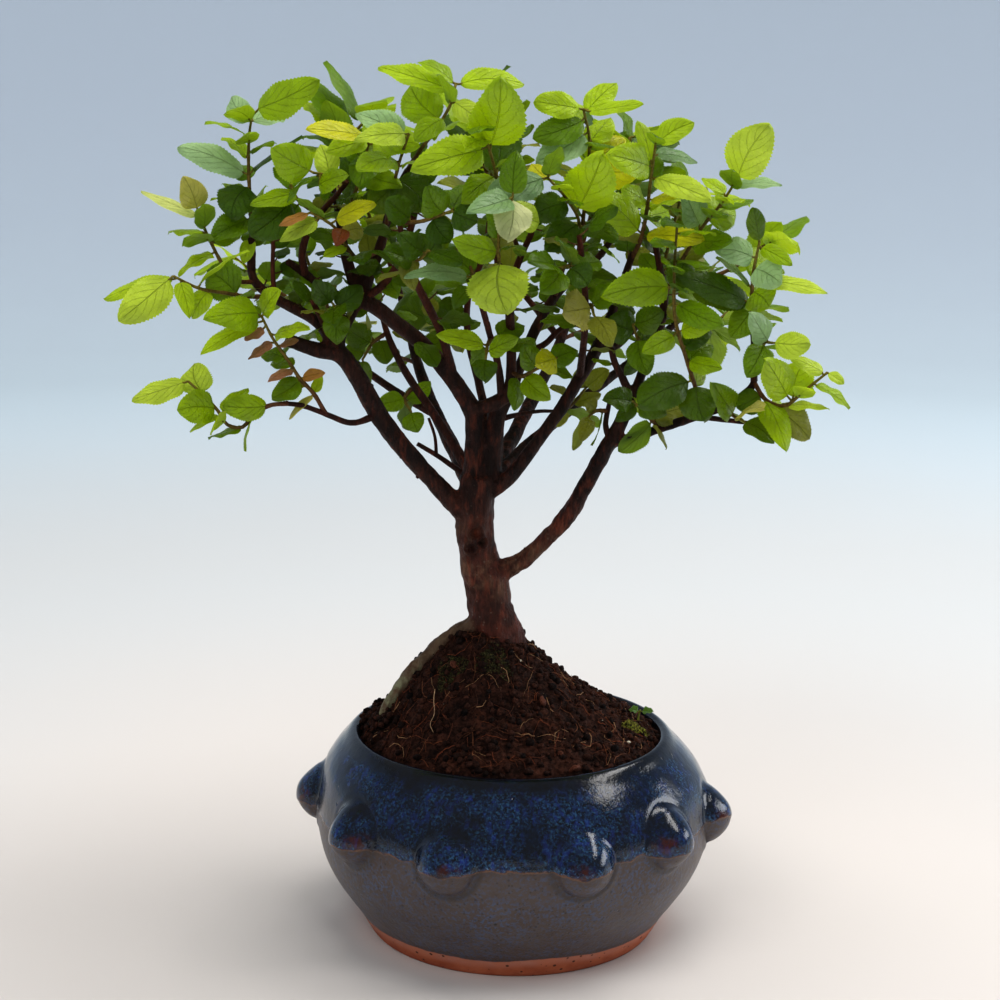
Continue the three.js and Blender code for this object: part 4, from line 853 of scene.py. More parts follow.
BURIED_ROOTS = (
    ((-3, 88, 0, 9.6), (-2, 76, 1, 7.5), (-2, 62, 2, 5), (-4, 46, 3, 3)),
    ((0, 88, 0, 5), (12, 72, -6, 3.6), (24, 56, -12, 2.4), (32, 38, -16, 1.4)),
    ((-4, 84, 2, 5), (-12, 70, 14, 3.4), (-20, 54, 24, 2.2), (-26, 36, 30, 1.4)),
    ((-2, 84, 2, 4.6), (8, 70, 14, 3.2), (16, 52, 26, 2), (20, 34, 32, 1.4)),
    ((-4, 84, -3, 4.6), (-10, 68, -14, 3.2), (-16, 50, -24, 2), (-20, 34, -30, 1.4)),
)

SHOOTS = (
    Shoot(((-80.8, 218, -5), (-81, 228, -5), (-81.5, 240, -6), (-81.3, 250, -7), (-80.3, 257, -8)), (
        (-80, 258, -61, 268, -7, 12, 0.7, BRIGHT), (-81, 255, -87, 263, 6, 8, 0.7, PALE),
        (-81, 255, -70, 259, 6, 8, 0.6, PALE), (-81.5, 239, -102, 248.5, -4, 10, 0.55, PALE),
        (-81.5, 240, -66, 252, -5, 9, 0.3, DARK), (-81.5, 244, -89, 251, 8, 7, 0.2, LIME),
        (-81.3, 236, -87, 227, -9, 13, 0.85, DARK), (-81, 226, -93, 220.5, -8, 10, 0.75, MID),
        (-80.8, 220, -83.5, 212.5, -4, 5, 0.4, LIME),
    )),
    Shoot(((-80.5, 206.5, -7), (-86, 207, -10), (-90, 212, -11), (-94, 220, -12), (-97, 227, -13)), (
        (-97, 228, -101, 238, -4, 9, 0.95, OCHRE), (-96.5, 226, -114, 234.5, -5, 6, 0.4, PALE_YELLOW),
        (-92, 215.5, -104, 210, -6, 7, 0.35, LIME), (-93, 218, -84, 226, 8, 8, 0.6, MID),
    )),
    Shoot(((-75, 202.3, -8), (-82, 202, -13), (-89, 203, -16), (-97, 204.3, -18), (-105, 208, -20)), (
        (-105, 208, -121, 195, -13, 12, 0.85, PALE_LIME), (-104, 207.5, -127, 201.5, 4, 8, 0.5, LIME),
        (-103, 207, -99.8, 195.5, -4, 6, 0.5, LIME), (-94, 204, -100, 195, -8, 7.5, 0.55, LIME),
        (-99, 205, -90, 199, 6, 7, 0.3, LIME), (-98, 205, -83, 218, -9, 7, 0.2, LIME),
        (-85, 202.5, -95, 210, -9, 13, 0.9, MID),
    )),
    Shoot(((-58.5, 166, -14), (-62, 172, -15), (-66.5, 177, -16), (-70, 182.5, -16), (-74.5, 189, -17),
           (-78, 196, -18)), (
        (-66, 176.5, -75, 171, -5, 8, 0.75, MID), (-66, 177, -59, 179, -3, 4.5, 0.6, ORANGE),
        (-68.5, 180, -76, 177, -3, 4.5, 0.5, RUSSET), (-74.5, 188.5, -82.5, 183, -3, 4.5, 0.4, RUSSET),
        (-73, 187, -67, 189, -3, 3.6, 0.5, RUSSET), (-75, 190, -64, 193.5, -4, 7, 0.55, LIME),
        (-77, 192.5, -83.5, 189, -3, 4.5, 0.6, RUSSET), (-78, 195, -97, 185.5, -8, 7.5, 0.55, LIME),
        (-78, 197, -92.5, 197, -11, 12, 0.9, BRIGHT), (-78, 196, -74, 204, -6, 9, 0.6, LIME),
        (-62, 172, -70.5, 165, -3, 3.6, 0.4, OCHRE), (-62, 172, -60, 179, 3, 3.6, 0.5, LIME),
    )),
    Shoot(((-70, 169, -19), (-76, 168.2, -20), (-81, 165, -21), (-84.3, 161.3, -22), (-89, 162, -23),
           (-92, 166.5, -24), (-96, 171, -25), (-101, 175.5, -26)), (
        (-75.5, 168, -89.5, 168, -7, 8.5, 0.9, BRIGHT), (-77, 167.5, -82, 164, -5, 6, 0.6, YELLOW),
        (-101, 175.5, -118.5, 170, -7, 8.5, 0.6, PALE_LIME), (-96.5, 171.5, -99.5, 181.5, 5, 11, 0.85, PALE_LIME),
        (-92, 167, -103.5, 166.5, -9, 11, 0.9, BRIGHT), (-91, 165.5, -82.5, 174.5, 4, 6, 0.6, BRIGHT),
        (-91, 165, -101.5, 160.5, 2, 4, 0.5, LIME),
    )),
    Shoot(((-60, 227.5, -8), (-66, 231, -14), (-69, 236, -17)), (
        (-66, 234, -81, 231.5, -8, 8, 0.6, BRIGHT), (-68, 232, -81, 221, -12, 13, 0.85, DARK),
        (-66, 231, -75, 220, -2, 9, 0.6, MID), (-68, 235, -71.5, 243, 6, 9, 0.7, MID),
    )),
    Shoot(((-52, 237, -12), (-57, 239, -18), (-62, 240, -22)), (
        (-62, 240, -74, 247, -5, 12, 0.85, BRIGHT), (-60, 239, -69, 230.5, -9, 9, 0.8, MID),
        (-61, 236, -53, 240, -10, 8, 0.75, BRIGHT), (-57, 239, -60, 249, 4, 8, 0.6, PALE_LIME),
        (-60, 240, -64, 251, 8, 10, 0.7, BRIGHT),
    )),
    Shoot(((-42, 216.5, -3), (-48, 214, -12), (-52, 218, -18), (-55, 223, -22), (-59, 226, -25), (-63, 228, -27)), (
        (-63, 228, -72.5, 224.5, -4, 4, 0.4, ORANGE), (-60, 226, -73, 220, -5, 6.5, 0.6, PALE_LIME),
        (-56, 225.5, -44, 231.5, -7, 8, 0.65, YELLOW), (-53, 223.5, -55, 218.5, -7, 5.5, 0.8, RED),
        (-53, 222, -46, 223.5, -6, 7, 0.85, OCHRE), (-51.5, 218, -59, 215, -5, 4.5, 0.5, LIME),
    )),
    Shoot(((-53.5, 222, -2), (-50, 232, -10), (-47, 241, -15), (-45, 250, -18)), (
        (-45, 250, -58, 247, -5, 9, 0.5, LIME), (-45, 251, -63, 254, -7, 8, 0.6, YELLOW),
        (-46, 246, -48, 237, -11, 9, 0.7, MID), (-45, 249, -31, 250, -10, 11, 0.65, LIME),
        (-47, 240, -36, 237.5, -9, 9, 0.8, BRIGHT), (-45, 250, -40, 261, 5, 9, 0.7, BRIGHT),
    )),
    Shoot(((-40, 224, -4), (-38, 234, -16), (-36, 243, -24), (-33, 252, -29)), (
        (-33, 252, -49, 251.5, -8, 10, 0.65, PALE_LIME), (-34, 251, -49, 259.5, 5, 10, 0.6, PALE),
        (-37, 239, -27, 229, -10, 13, 0.9, DARK), (-38, 236, -46, 228, -8, 10, 0.75, DARK),
        (-36, 244, -47, 243, -8, 10, 0.7, BRIGHT), (-37, 240, -38, 227, -3, 10, 0.85, DARK),
    )),
    Shoot(((-33.5, 241, -9), (-29, 248, -22), (-24.5, 254, -30), (-20.5, 261, -34), (-19, 267, -34)), (
        (-28, 249, -35.5, 260, -7, 14, 0.85, BRIGHT), (-24, 256, -33, 267, 8, 13, 0.8, BRIGHT),
        (-22, 257, -30.5, 251.5, -9, 7, 0.7, BRIGHT), (-19.5, 265, -42, 273.5, 3, 9, 0.6, LIME),
        (-19, 267, -29.5, 274.3, 9, 7, 0.5, BRIGHT), (-19, 267, 2, 269, 6, 9, 0.55, LIME),
        (-20, 262, -11.5, 256.5, -6, 7.5, 0.75, PALE_LIME), (-20.5, 261, -23, 271, -4, 6, 0.6, MID),
    )),
    Shoot(((1.5, 216, -13), (-4, 228, -24), (-6, 238, -32), (-8.5, 247, -38), (-11, 254, -42)), (
        (-8.5, 247.5, -5.5, 267.5, -6, 17, 0.95, BRIGHT), (-9, 248, -31.5, 243, -11, 13, 0.8, LIME),
        (-10.5, 252, -24, 258, -9, 11, 0.75, BRIGHT), (-6, 240, -4, 262, 10, 13, 0.85, DARK),
        (-6.5, 240, -16, 233, -10, 9, 0.7, BRIGHT),
    )),
    Shoot(((-1.8, 199, -10), (-4, 206, -26), (-5.3, 213.5, -40), (-5.2, 225, -46), (-1.5, 233.5, -48)), (
        (-5.3, 214, -3.2, 199.5, -10, 19, 0.97, PALE_LIME), (-5, 216.5, -19, 220.5, -8, 9, 0.8, BRIGHT),
        (-1.5, 233.5, -2.8, 221, -8, 11.5, 0.95, CREAM), (-1.5, 233, -13.5, 231, -10, 9, 0.75, GREY_GREEN),
        (-3, 230, 8, 226, 8, 9, 0.7, PALE_LIME),
    )),
    Shoot(((12, 203.5, 9), (15, 214, -8), (19, 225, -22), (15, 233, -28), (9, 239.5, -32)), (
        (9, 239.5, -8, 236, -9, 10, 0.75, GREY_GREEN), (9, 239, 4, 244, -5, 7, 0.7, YELLOW),
        (10, 238, 1, 233, -9, 8, 0.65, PALE_YELLOW), (16, 232, 5, 228, -3, 10, 0.7, DARK),
        (18, 229, 25.5, 246, -10, 16, 0.95, LIME), (19, 226, 9, 218, -8, 11, 0.8, DARK),
        (19, 225, 30, 222.5, -8, 8, 0.6, DARK),
    )),
    Shoot(((18, 210, 11), (20, 226, 0), (21, 240, -8), (21.5, 251, -13), (19.5, 260, -17)), (
        (21, 253, 6, 245.5, -9, 11, 0.7, PALE), (20.5, 257, 5, 252, -4, 10, 0.7, MID),
        (19.5, 260, 5, 262.5, 3, 9, 0.7, LIME), (19.5, 260, -2.5, 273.5, 3, 10, 0.75, BRIGHT),
        (20, 259, 29.5, 268.5, 7, 8, 0.75, LIME), (20, 259, 37, 262.5, -5, 6, 0.55, LIME),
        (21.5, 250, 27.5, 259, 8, 9, 0.6, LIME), (21, 244, 33, 251.5, 4, 11, 0.75, YELLOW),
        (21, 242, 36, 242, -6, 12, 0.8, YELLOW),
    )),
    Shoot(((35, 215, -9), (38, 222, -16), (39.5, 231, -20), (40.5, 241, -23), (41.5, 250, -25)), (
        (38, 222.5, 56.5, 222.5, -10, 8, 0.7, YELLOW), (38, 223, 25, 234, -11, 12, 0.85, LIME),
        (40, 233, 48, 236, -8, 5, 0.6, YELLOW), (39.5, 232, 33, 237, -8, 7, 0.65, LIME),
        (40.5, 240, 57, 236.5, -8, 9, 0.6, PALE_LIME), (40.5, 242, 51.5, 243, -8, 14, 0.85, BRIGHT),
        (41.5, 250, 53, 257, 2, 8, 0.6, LIME), (41, 247, 55, 246, 8, 7, 0.5, GREY_GREEN),
        (40.5, 244, 36.5, 257, 4, 6, 0.6, LIME), (40.5, 243, 30, 247, -8, 11, 0.85, LIME),
        (39, 228, 47, 231, 8, 10, 0.7, BRIGHT),
    )),
    Shoot(((45.5, 204, -11), (50, 214, -17), (56, 224.5, -22), (62, 232.5, -25), (66, 239, -27)), (
        (66, 239, 75.5, 256, -7, 14, 0.95, PALE_LIME), (65.5, 238, 80, 239, -3, 5, 0.5, PALE),
        (63.5, 235, 56, 240.5, 3, 6, 0.45, LIME), (58, 227, 67, 232, 8, 12, 0.9, BRIGHT),
        (56, 225, 51, 236, -6, 10, 0.85, GREY_GREEN), (55, 223, 49, 228.5, -10, 6, 0.6, LIME),
        (57, 225, 59, 236, -9, 9, 0.7, GREY_GREEN), (54, 221, 65, 222, -9, 10, 0.7, MID),
        (51, 216, 49, 206, -6, 9, 0.7, DARK),
    )),
    Shoot(((73, 194, -20), (72.3, 203, -24), (72.5, 212, -27), (74, 221, -29)), (
        (74, 220.5, 72, 231, -4, 6, 0.6, DARK), (74, 219.5, 84, 215, -6, 6, 0.7, BRIGHT),
        (73, 216, 61, 219, -8, 10, 0.7, PALE), (72.5, 213, 80.5, 209, -11, 11, 0.8, PALE),
        (72.5, 209, 95, 208, -8, 7, 0.55, PALE_LIME), (72.3, 202, 50, 211, -9, 10, 0.7, DARK),
        (72.3, 206, 78, 201, -9, 12, 0.8, BRIGHT), (72.3, 202, 54, 206, -2, 10, 0.6, DARK),
        (72.5, 200, 66, 191.5, -9, 9, 0.7, MID), (74, 218, 66, 227, 6, 9, 0.7, BRIGHT),
    )),
    Shoot(((73.5, 187, -20), (76, 190, -26), (79, 190, -32)), (
        (79, 190, 90, 190.5, -6, 9, 0.7, PALE_LIME), (78, 190, 73, 199, -5, 9, 0.7, PALE),
        (77, 190, 72, 180, -8, 9, 0.8, MID), (78.5, 189.5, 83, 182, -6, 9, 0.7, PALE),
    )),
    Shoot(((74, 177.5, -20), (78, 172, -24), (84, 170.5, -28), (90, 175.5, -31), (96.5, 181, -33)), (
        (96, 180.5, 85, 186.5, -6, 6, 0.5, PALE_LIME), (96.5, 181, 102, 178, -2, 4, 0.5, PALE_LIME),
        (85, 172.5, 78, 184, -5, 11, 0.85, LIME), (86, 172.5, 90, 185.5, -4, 12, 0.85, LIME),
        (84, 170.5, 97.5, 170.5, -5, 5, 0.45, PALE_LIME), (80, 170.5, 92.5, 160, -8, 10, 0.9, OLIVE),
        (77, 173, 85, 158, -12, 9, 0.85, BRIGHT), (76.5, 174, 69, 170, -10, 9, 0.8, DARK),
        (80, 171, 86, 165.5, 5, 9, 0.7, LIME),
    )),
    Shoot(((65, 170, -18), (68, 167, -22), (71, 165.5, -25)), (
        (71, 165.5, 81, 159.5, -6, 8, 0.65, DARK), (68, 167, 63, 176, -8, 9, 0.8, MID),
        (69, 166.5, 76, 171, -8, 8, 0.7, OCHRE),
    )),
    Shoot(((60, 168, -16), (57, 173, -22), (54.8, 179, -26), (52, 187, -28), (49, 197, -30), (48.3, 210, -32),
           (48.7, 226, -34)), (
        (56, 177, 59, 165.5, -10, 12, 0.95, DARK), (55, 178, 39.5, 171, -8, 12, 0.9, DARK),
        (53, 184, 63, 182.5, -9, 6, 0.7, BRIGHT), (49.5, 192, 40, 187, -8, 7, 0.85, BRIGHT),
        (50, 193, 62, 197, -9, 8, 0.7, LIME), (48.5, 202, 63, 196, -10, 8, 0.75, MID),
        (48.3, 207, 27, 203.5, -9, 12, 0.9, BRIGHT), (48.5, 206, 54, 198, 6, 9, 0.6, MID),
        (53, 184, 61, 190, 6, 9, 0.7, MID),
    )),
    Shoot(((45.5, 162.7, -11), (41, 167, -15), (37, 171, -18)), (
        (38, 170, 46.5, 167.5, -6, 8, 0.85, DARK), (37, 171, 28.5, 172, -7, 8, 0.9, DARK),
        (38, 170, 31, 165, 2, 6, 0.7, DARK),
    )),
    Shoot(((41, 186, -9), (38, 190, -15), (36, 195, -19)), (
        (37, 193, 29, 196, -6, 11, 0.9, DARK), (37.5, 191, 41, 180, -6, 9, 0.8, MID),
        (36, 195, 44, 199, -5, 9, 0.8, DARK), (38, 190, 45, 192, -3, 8, 0.7, DARK),
    )),
    Shoot(((29, 168, -7), (25.5, 168, -9), (23, 166, -11)), (
        (25.5, 168, 22.5, 170.5, -2, 5, 0.95, OLIVE), (23.5, 166.5, 21.5, 160.5, -2, 5, 0.95, OLIVE),
    )),
    Shoot(((-15, 215, -29), (-13, 209, -36), (-12, 204, -40)), (
        (-13.5, 209, -33, 211, -9, 7, 0.6, GREY_GREEN), (-12.5, 206, -24, 203, -4, 10, 0.85, DARK),
        (-13, 210, -22, 216, -5, 9, 0.7, MID),
    )),
    Shoot(((-7.5, 190, -13), (-8.5, 188, -20), (-9, 184, -25)), (
        (-8.5, 188, -23.5, 191.5, -8, 6.5, 0.7, LIME), (-8.8, 187, -15, 182, -6, 6, 0.75, MID),
        (-9, 184, -9, 177, -5, 8, 0.9, DARK), (-8.8, 186, 0, 190.5, -7, 7, 0.7, BRIGHT),
        (-9, 184, -15, 174, -4, 6, 0.7, MID),
    )),
    Shoot(((-1.2, 180, -4), (2, 178.5, -10), (7, 181, -14), (13, 184.5, -17)), (
        (2.5, 178.5, 10.5, 172, -7, 8, 0.85, BRIGHT), (13, 184.5, 8, 183, -9, 9, 0.85, YELLOW),
        (11, 183.5, 19.5, 187, -6, 8, 0.8, MID), (7, 181, 3, 188, -6, 8, 0.7, MID),
        (9, 182, 17, 178, -2, 8, 0.7, MID),
    )),
    Shoot(((21.5, 199, -20), (23, 201, -27), (24, 198, -32)), (
        (23.5, 200, 16, 199, -8, 13, 0.95, OCHRE), (24, 198, 16, 189.5, -6, 12, 0.85, OLIVE),
        (23, 201, 31, 206, -4, 8, 0.7, MID), (24, 198, 29, 190, -3, 8, 0.7, OLIVE),
    )),
    Shoot(((20.5, 212, -29), (17, 213, -36), (13, 212, -41)), (
        (14, 212, 8, 205, -8, 9, 0.75, MID), (16, 212.5, 22, 207, -6, 9, 0.8, DARK),
        (13, 212, 6, 216, -5, 9, 0.7, DARK), (18, 213, 26, 215, -4, 8, 0.7, MID),
    )),
    Shoot(((-34, 216, -28), (-30, 214, -35), (-27, 217, -40)), (
        (-30, 214, -24, 221, -6, 9, 0.8, DARK), (-28, 216, -35, 222, -5, 9, 0.7, DARK),
        (-31, 214, -40, 217, -6, 9, 0.75, DARK), (-29, 215, -21, 212, -3, 8, 0.7, DARK),
    )),
    Shoot(((-36, 225, -32), (-28, 226, -38), (-20, 229, -42)), (
        (-20, 229, -12, 226, -5, 9, 0.8, DARK), (-22, 228, -27, 236, -5, 10, 0.8, MID),
        (-26, 227, -20, 220, -6, 9, 0.8, DARK), (-32, 226, -39, 232, -6, 9, 0.75, DARK),
        (-20, 229, -14, 238, 5, 10, 0.75, MID),
    )),
    Shoot(((-51, 195.5, -6), (-54, 197, -13), (-56, 200, -17)), (
        (-54.5, 197.5, -55, 188, -4, 8.5, 0.95, MID), (-56, 200, -61.5, 207, -4, 8, 0.9, DARK),
        (-55.5, 199, -47, 206, -5, 8, 0.8, DARK),
    )),
    Shoot(((-39.5, 191.5, 18), (-44, 188, 20), (-47, 183, 20)), (
        (-44, 188, -52, 193, -3, 9, 0.8, DARK), (-46, 185, -54, 186, 4, 8, 0.7, DARK),
        (-47, 183, -45.5, 173.5, 3, 6, 0.8, DARK), (-42, 189.5, -39.5, 182, -4, 8, 0.8, DARK),
    )),
    Shoot(((-31, 175, 12), (-34, 171, 13), (-32, 167, 12)), (
        (-33.5, 171, -42.5, 169, -5, 7, 0.8, MID), (-32, 167, -30, 161, -4, 7.5, 0.95, MID),
        (-33.5, 170, -26, 177, 4, 7, 0.8, MID),
    )),
    Shoot(((-14.5, 190, 20), (-20, 191, 24), (-26, 195, 26)), (
        (-20, 191, -29, 186, -5, 10, 0.8, DARK), (-26, 195, -36, 199, -4, 12, 0.85, DARK),
        (-22, 192, -20, 203, 2, 11, 0.8, DARK), (-24, 194, -31, 207, 4, 10, 0.8, DARK),
    )),
    Shoot(((14, 167.6, 8), (18, 170, 10), (22, 175, 12)), (
        (17, 169, 12, 162.5, 4, 5.5, 0.8, OLIVE), (18, 170, 27, 173.5, 3, 5, 0.6, OLIVE),
        (19, 171, 12, 176, 4, 5, 0.5, OLIVE), (22, 175, 28, 181, 4, 7, 0.7, OLIVE),
        (22, 175, 19, 182, -3, 7, 0.7, OLIVE),
    )),
    Shoot(((-38, 211, 58), (-43, 222, 56), (-48, 236, 50)), count=14, turn=0.1),
    Shoot(((-34, 198, 52), (-24, 208, 62), (-18, 218, 66)), count=12, turn=0.35),
    Shoot(((-66, 199, 42), (-76, 206, 44), (-86, 214, 42)), count=12, size=19, turn=0.6),
    Shoot(((-54, 186, 40), (-58, 200, 28), (-64, 214, 24), (-66, 226, 22)), count=14, turn=0.85),
    Shoot(((-6, 213, 62), (-8, 228, 57), (-8, 245, 46)), count=15, turn=0.2),
    Shoot(((20, 219, 54), (23, 232, 50), (24, 248, 40)), count=15, turn=0.45),
    Shoot(((58, 209, 42), (68, 214, 42), (78, 222, 38)), count=12, size=19, turn=0.7),
    Shoot(((52, 199, 38), (60, 196, 50), (66, 200, 58)), count=12, size=19, turn=0.95),
    Shoot(((40, 187, 32), (42, 202, 24), (46, 218, 18), (50, 236, 12)), count=18, turn=0.3),
    Shoot(((-8, 229, 28), (-10, 243, 25), (-14, 258, 16)), count=16, turn=0.55),
    Shoot(((29, 220, 14), (32, 236, 14), (34, 252, 8)), count=16, size=19, turn=0.82),
    Shoot(((-57, 239, 0), (-52, 249, 9), (-44, 258, 12)), count=15, turn=0.05),
    Shoot(((-30, 182, 42), (-40, 186, 54), (-48, 194, 62)), count=12, size=19, turn=0.15),
    Shoot(((14, 190, 42), (26, 196, 54), (34, 206, 60)), count=12, size=19, turn=0.4),
)


# Where a leaf is kept clear of others: shares of its length and of its width
BLADE_SPOTS = (
    (0.2, 0), (0.45, 0), (0.7, 0), (0.95, 0), (0.3, -0.32), (0.3, 0.32), (0.55, -0.38), (0.55, 0.38), (0.78, -0.3),
    (0.78, 0.3),
)


@dataclass(frozen=True)
class Blade:
    """Where one leaf stands: its base, its three directions, its size and its colour."""

    base: Points
    axis: Points
    across: Points
    face: Points
    length: float
    width: float
    tone: Colour

    def samples(self) -> Points:
        """Returns the spots on the blade that are kept clear of other leaves."""
        return np.array([self.base + self.axis * self.length * along + self.across * self.width * aside
                         for along, aside in BLADE_SPOTS])


def blade_between(base: Points, tip: Points, facing: Points, width: float, tone: Colour) -> Blade:
    """Returns the leaf from a base to a tip whose face looks towards a direction."""
    axis = tip - base
    length = float(np.linalg.norm(axis))
    axis = axis / length
    face = unit(facing - axis * facing.dot(axis))
    return Blade(base, axis, np.cross(face, axis), face, length, width, tone)


class Clearance:
    """The spots that the leaves take up, so that a new leaf can be kept clear of them."""

    REACH = 32

    def __init__(self) -> None:
        """Starts with no leaves."""
        self.spots = np.empty((0, len(BLADE_SPOTS), 3))

    def take(self, blade: Blade, gap: float) -> bool:
        """Adds a leaf and returns True if it stays clear by the gap, and returns False otherwise."""
        spots = blade.samples()
        near = self.spots[np.linalg.norm(self.spots[:, 1] - spots[1], axis=1) <= self.REACH]
        if len(near) and np.linalg.norm(near[:, :, None] - spots, axis=3).min() < gap:
            return False
        self.spots = np.concatenate((self.spots, spots[None]))
        return True


@dataclass
class LeafPress:
    """Shapes leaves: a serrated blade with a fold, an arch, a twist and a waved edge, on a short stalk."""

    rows: int = 37
    columns: int = 9
    stalk: float = 0.07
    tooth: float = 0.085
    stalk_radius: float = 0.32

    def press(self, sculpt: Sculpt, blade: Blade, seed: float) -> None:
        """Adds a leaf.

        Args:
            sculpt: what it is added to.
            blade: where it stands.
            seed: which of the small differences it gets.
        """
        along = np.linspace(0, 1, self.rows)
        aside = np.linspace(-1, 1, self.columns)
        blunt = chance(seed + 0.11)
        rise, fall = 0.4 + 0.14 * blunt, 0.78 - 0.2 * blunt
        widest = rise / (rise + fall)
        half = ((along + 1e-6) / widest) ** rise * (np.maximum(1 - along, 0) / (1 - widest)) ** fall
        teeth = 1 - self.tooth * (np.arange(self.rows) % 2)
        half = half * blade.width / 2 * teeth
        grid_along, grid_aside = np.meshgrid(along, aside, indexing="ij")
        reach = np.abs(grid_aside)
        fold = math.tan(math.radians(-6 + 38 * chance(seed + 0.23)))
        arch = blade.length * (0.07 + 0.22 * chance(seed + 0.37))
        waves = blade.width * (0.02 + 0.045 * chance(seed + 0.51))
        twist = math.radians(-24 + 48 * chance(seed + 0.67)) * grid_along
        sweep = blade.width * (-0.1 + 0.2 * chance(seed + 0.79)) * np.sin(math.pi * grid_along)
        out = grid_aside * half[:, None]
        lift = np.abs(out) * fold * (1 - 0.35 * reach) - 0.09 * blade.width * reach ** 2
        lift = lift - arch * (grid_along - 0.25) ** 2 + arch * 0.0625
        phase = 6.3 * chance(seed + 0.83)
        lift += waves * reach ** 2 * np.sin(grid_along * 13 + phase + grid_aside * 1.4)
        lift += blade.width * 0.022 * np.cos(grid_along * 38 - reach * 7) * reach * (1 - reach)
        side = out * np.cos(twist) - lift * np.sin(twist) * 0.6 + sweep
        up = lift * np.cos(twist) + out * np.sin(twist)
        start = self.stalk
        forward = (start + (1 - start) * grid_along) * blade.length
        points = (blade.base + forward[..., None] * blade.axis + side[..., None] * blade.across
                  + up[..., None] * blade.face).reshape(-1, 3)
        place = np.stack((grid_aside * 0.5 + 0.5, grid_along), axis=-1).reshape(-1, 2)
        tone = (*blade.tone, chance(seed + 0.91))
        faces = [face[::-1] for face in ring_faces(self.rows, self.columns, closed=False)]
        sculpt.add(points, faces, tone, place)

    def hang(self, sculpt: Sculpt, blade: Blade, stem: Points, tone: Colour) -> None:
        """Adds the stalk that joins a leaf to the nearest point of its stem."""
        nearest = stem[np.argmin(np.linalg.norm(stem - blade.base, axis=1))]
        end = blade.base + blade.axis * blade.length * (self.stalk + 0.03)
        middle = (nearest + end) / 2 - blade.face * 0.25
        line = Spline((nearest, middle, end)).spaced(4)
        points, faces = tube(line, np.linspace(1.25, 0.85, 5) * self.stalk_radius, 5)
        sculpt.add(points, faces, (*tone, 0.5), slot=1)


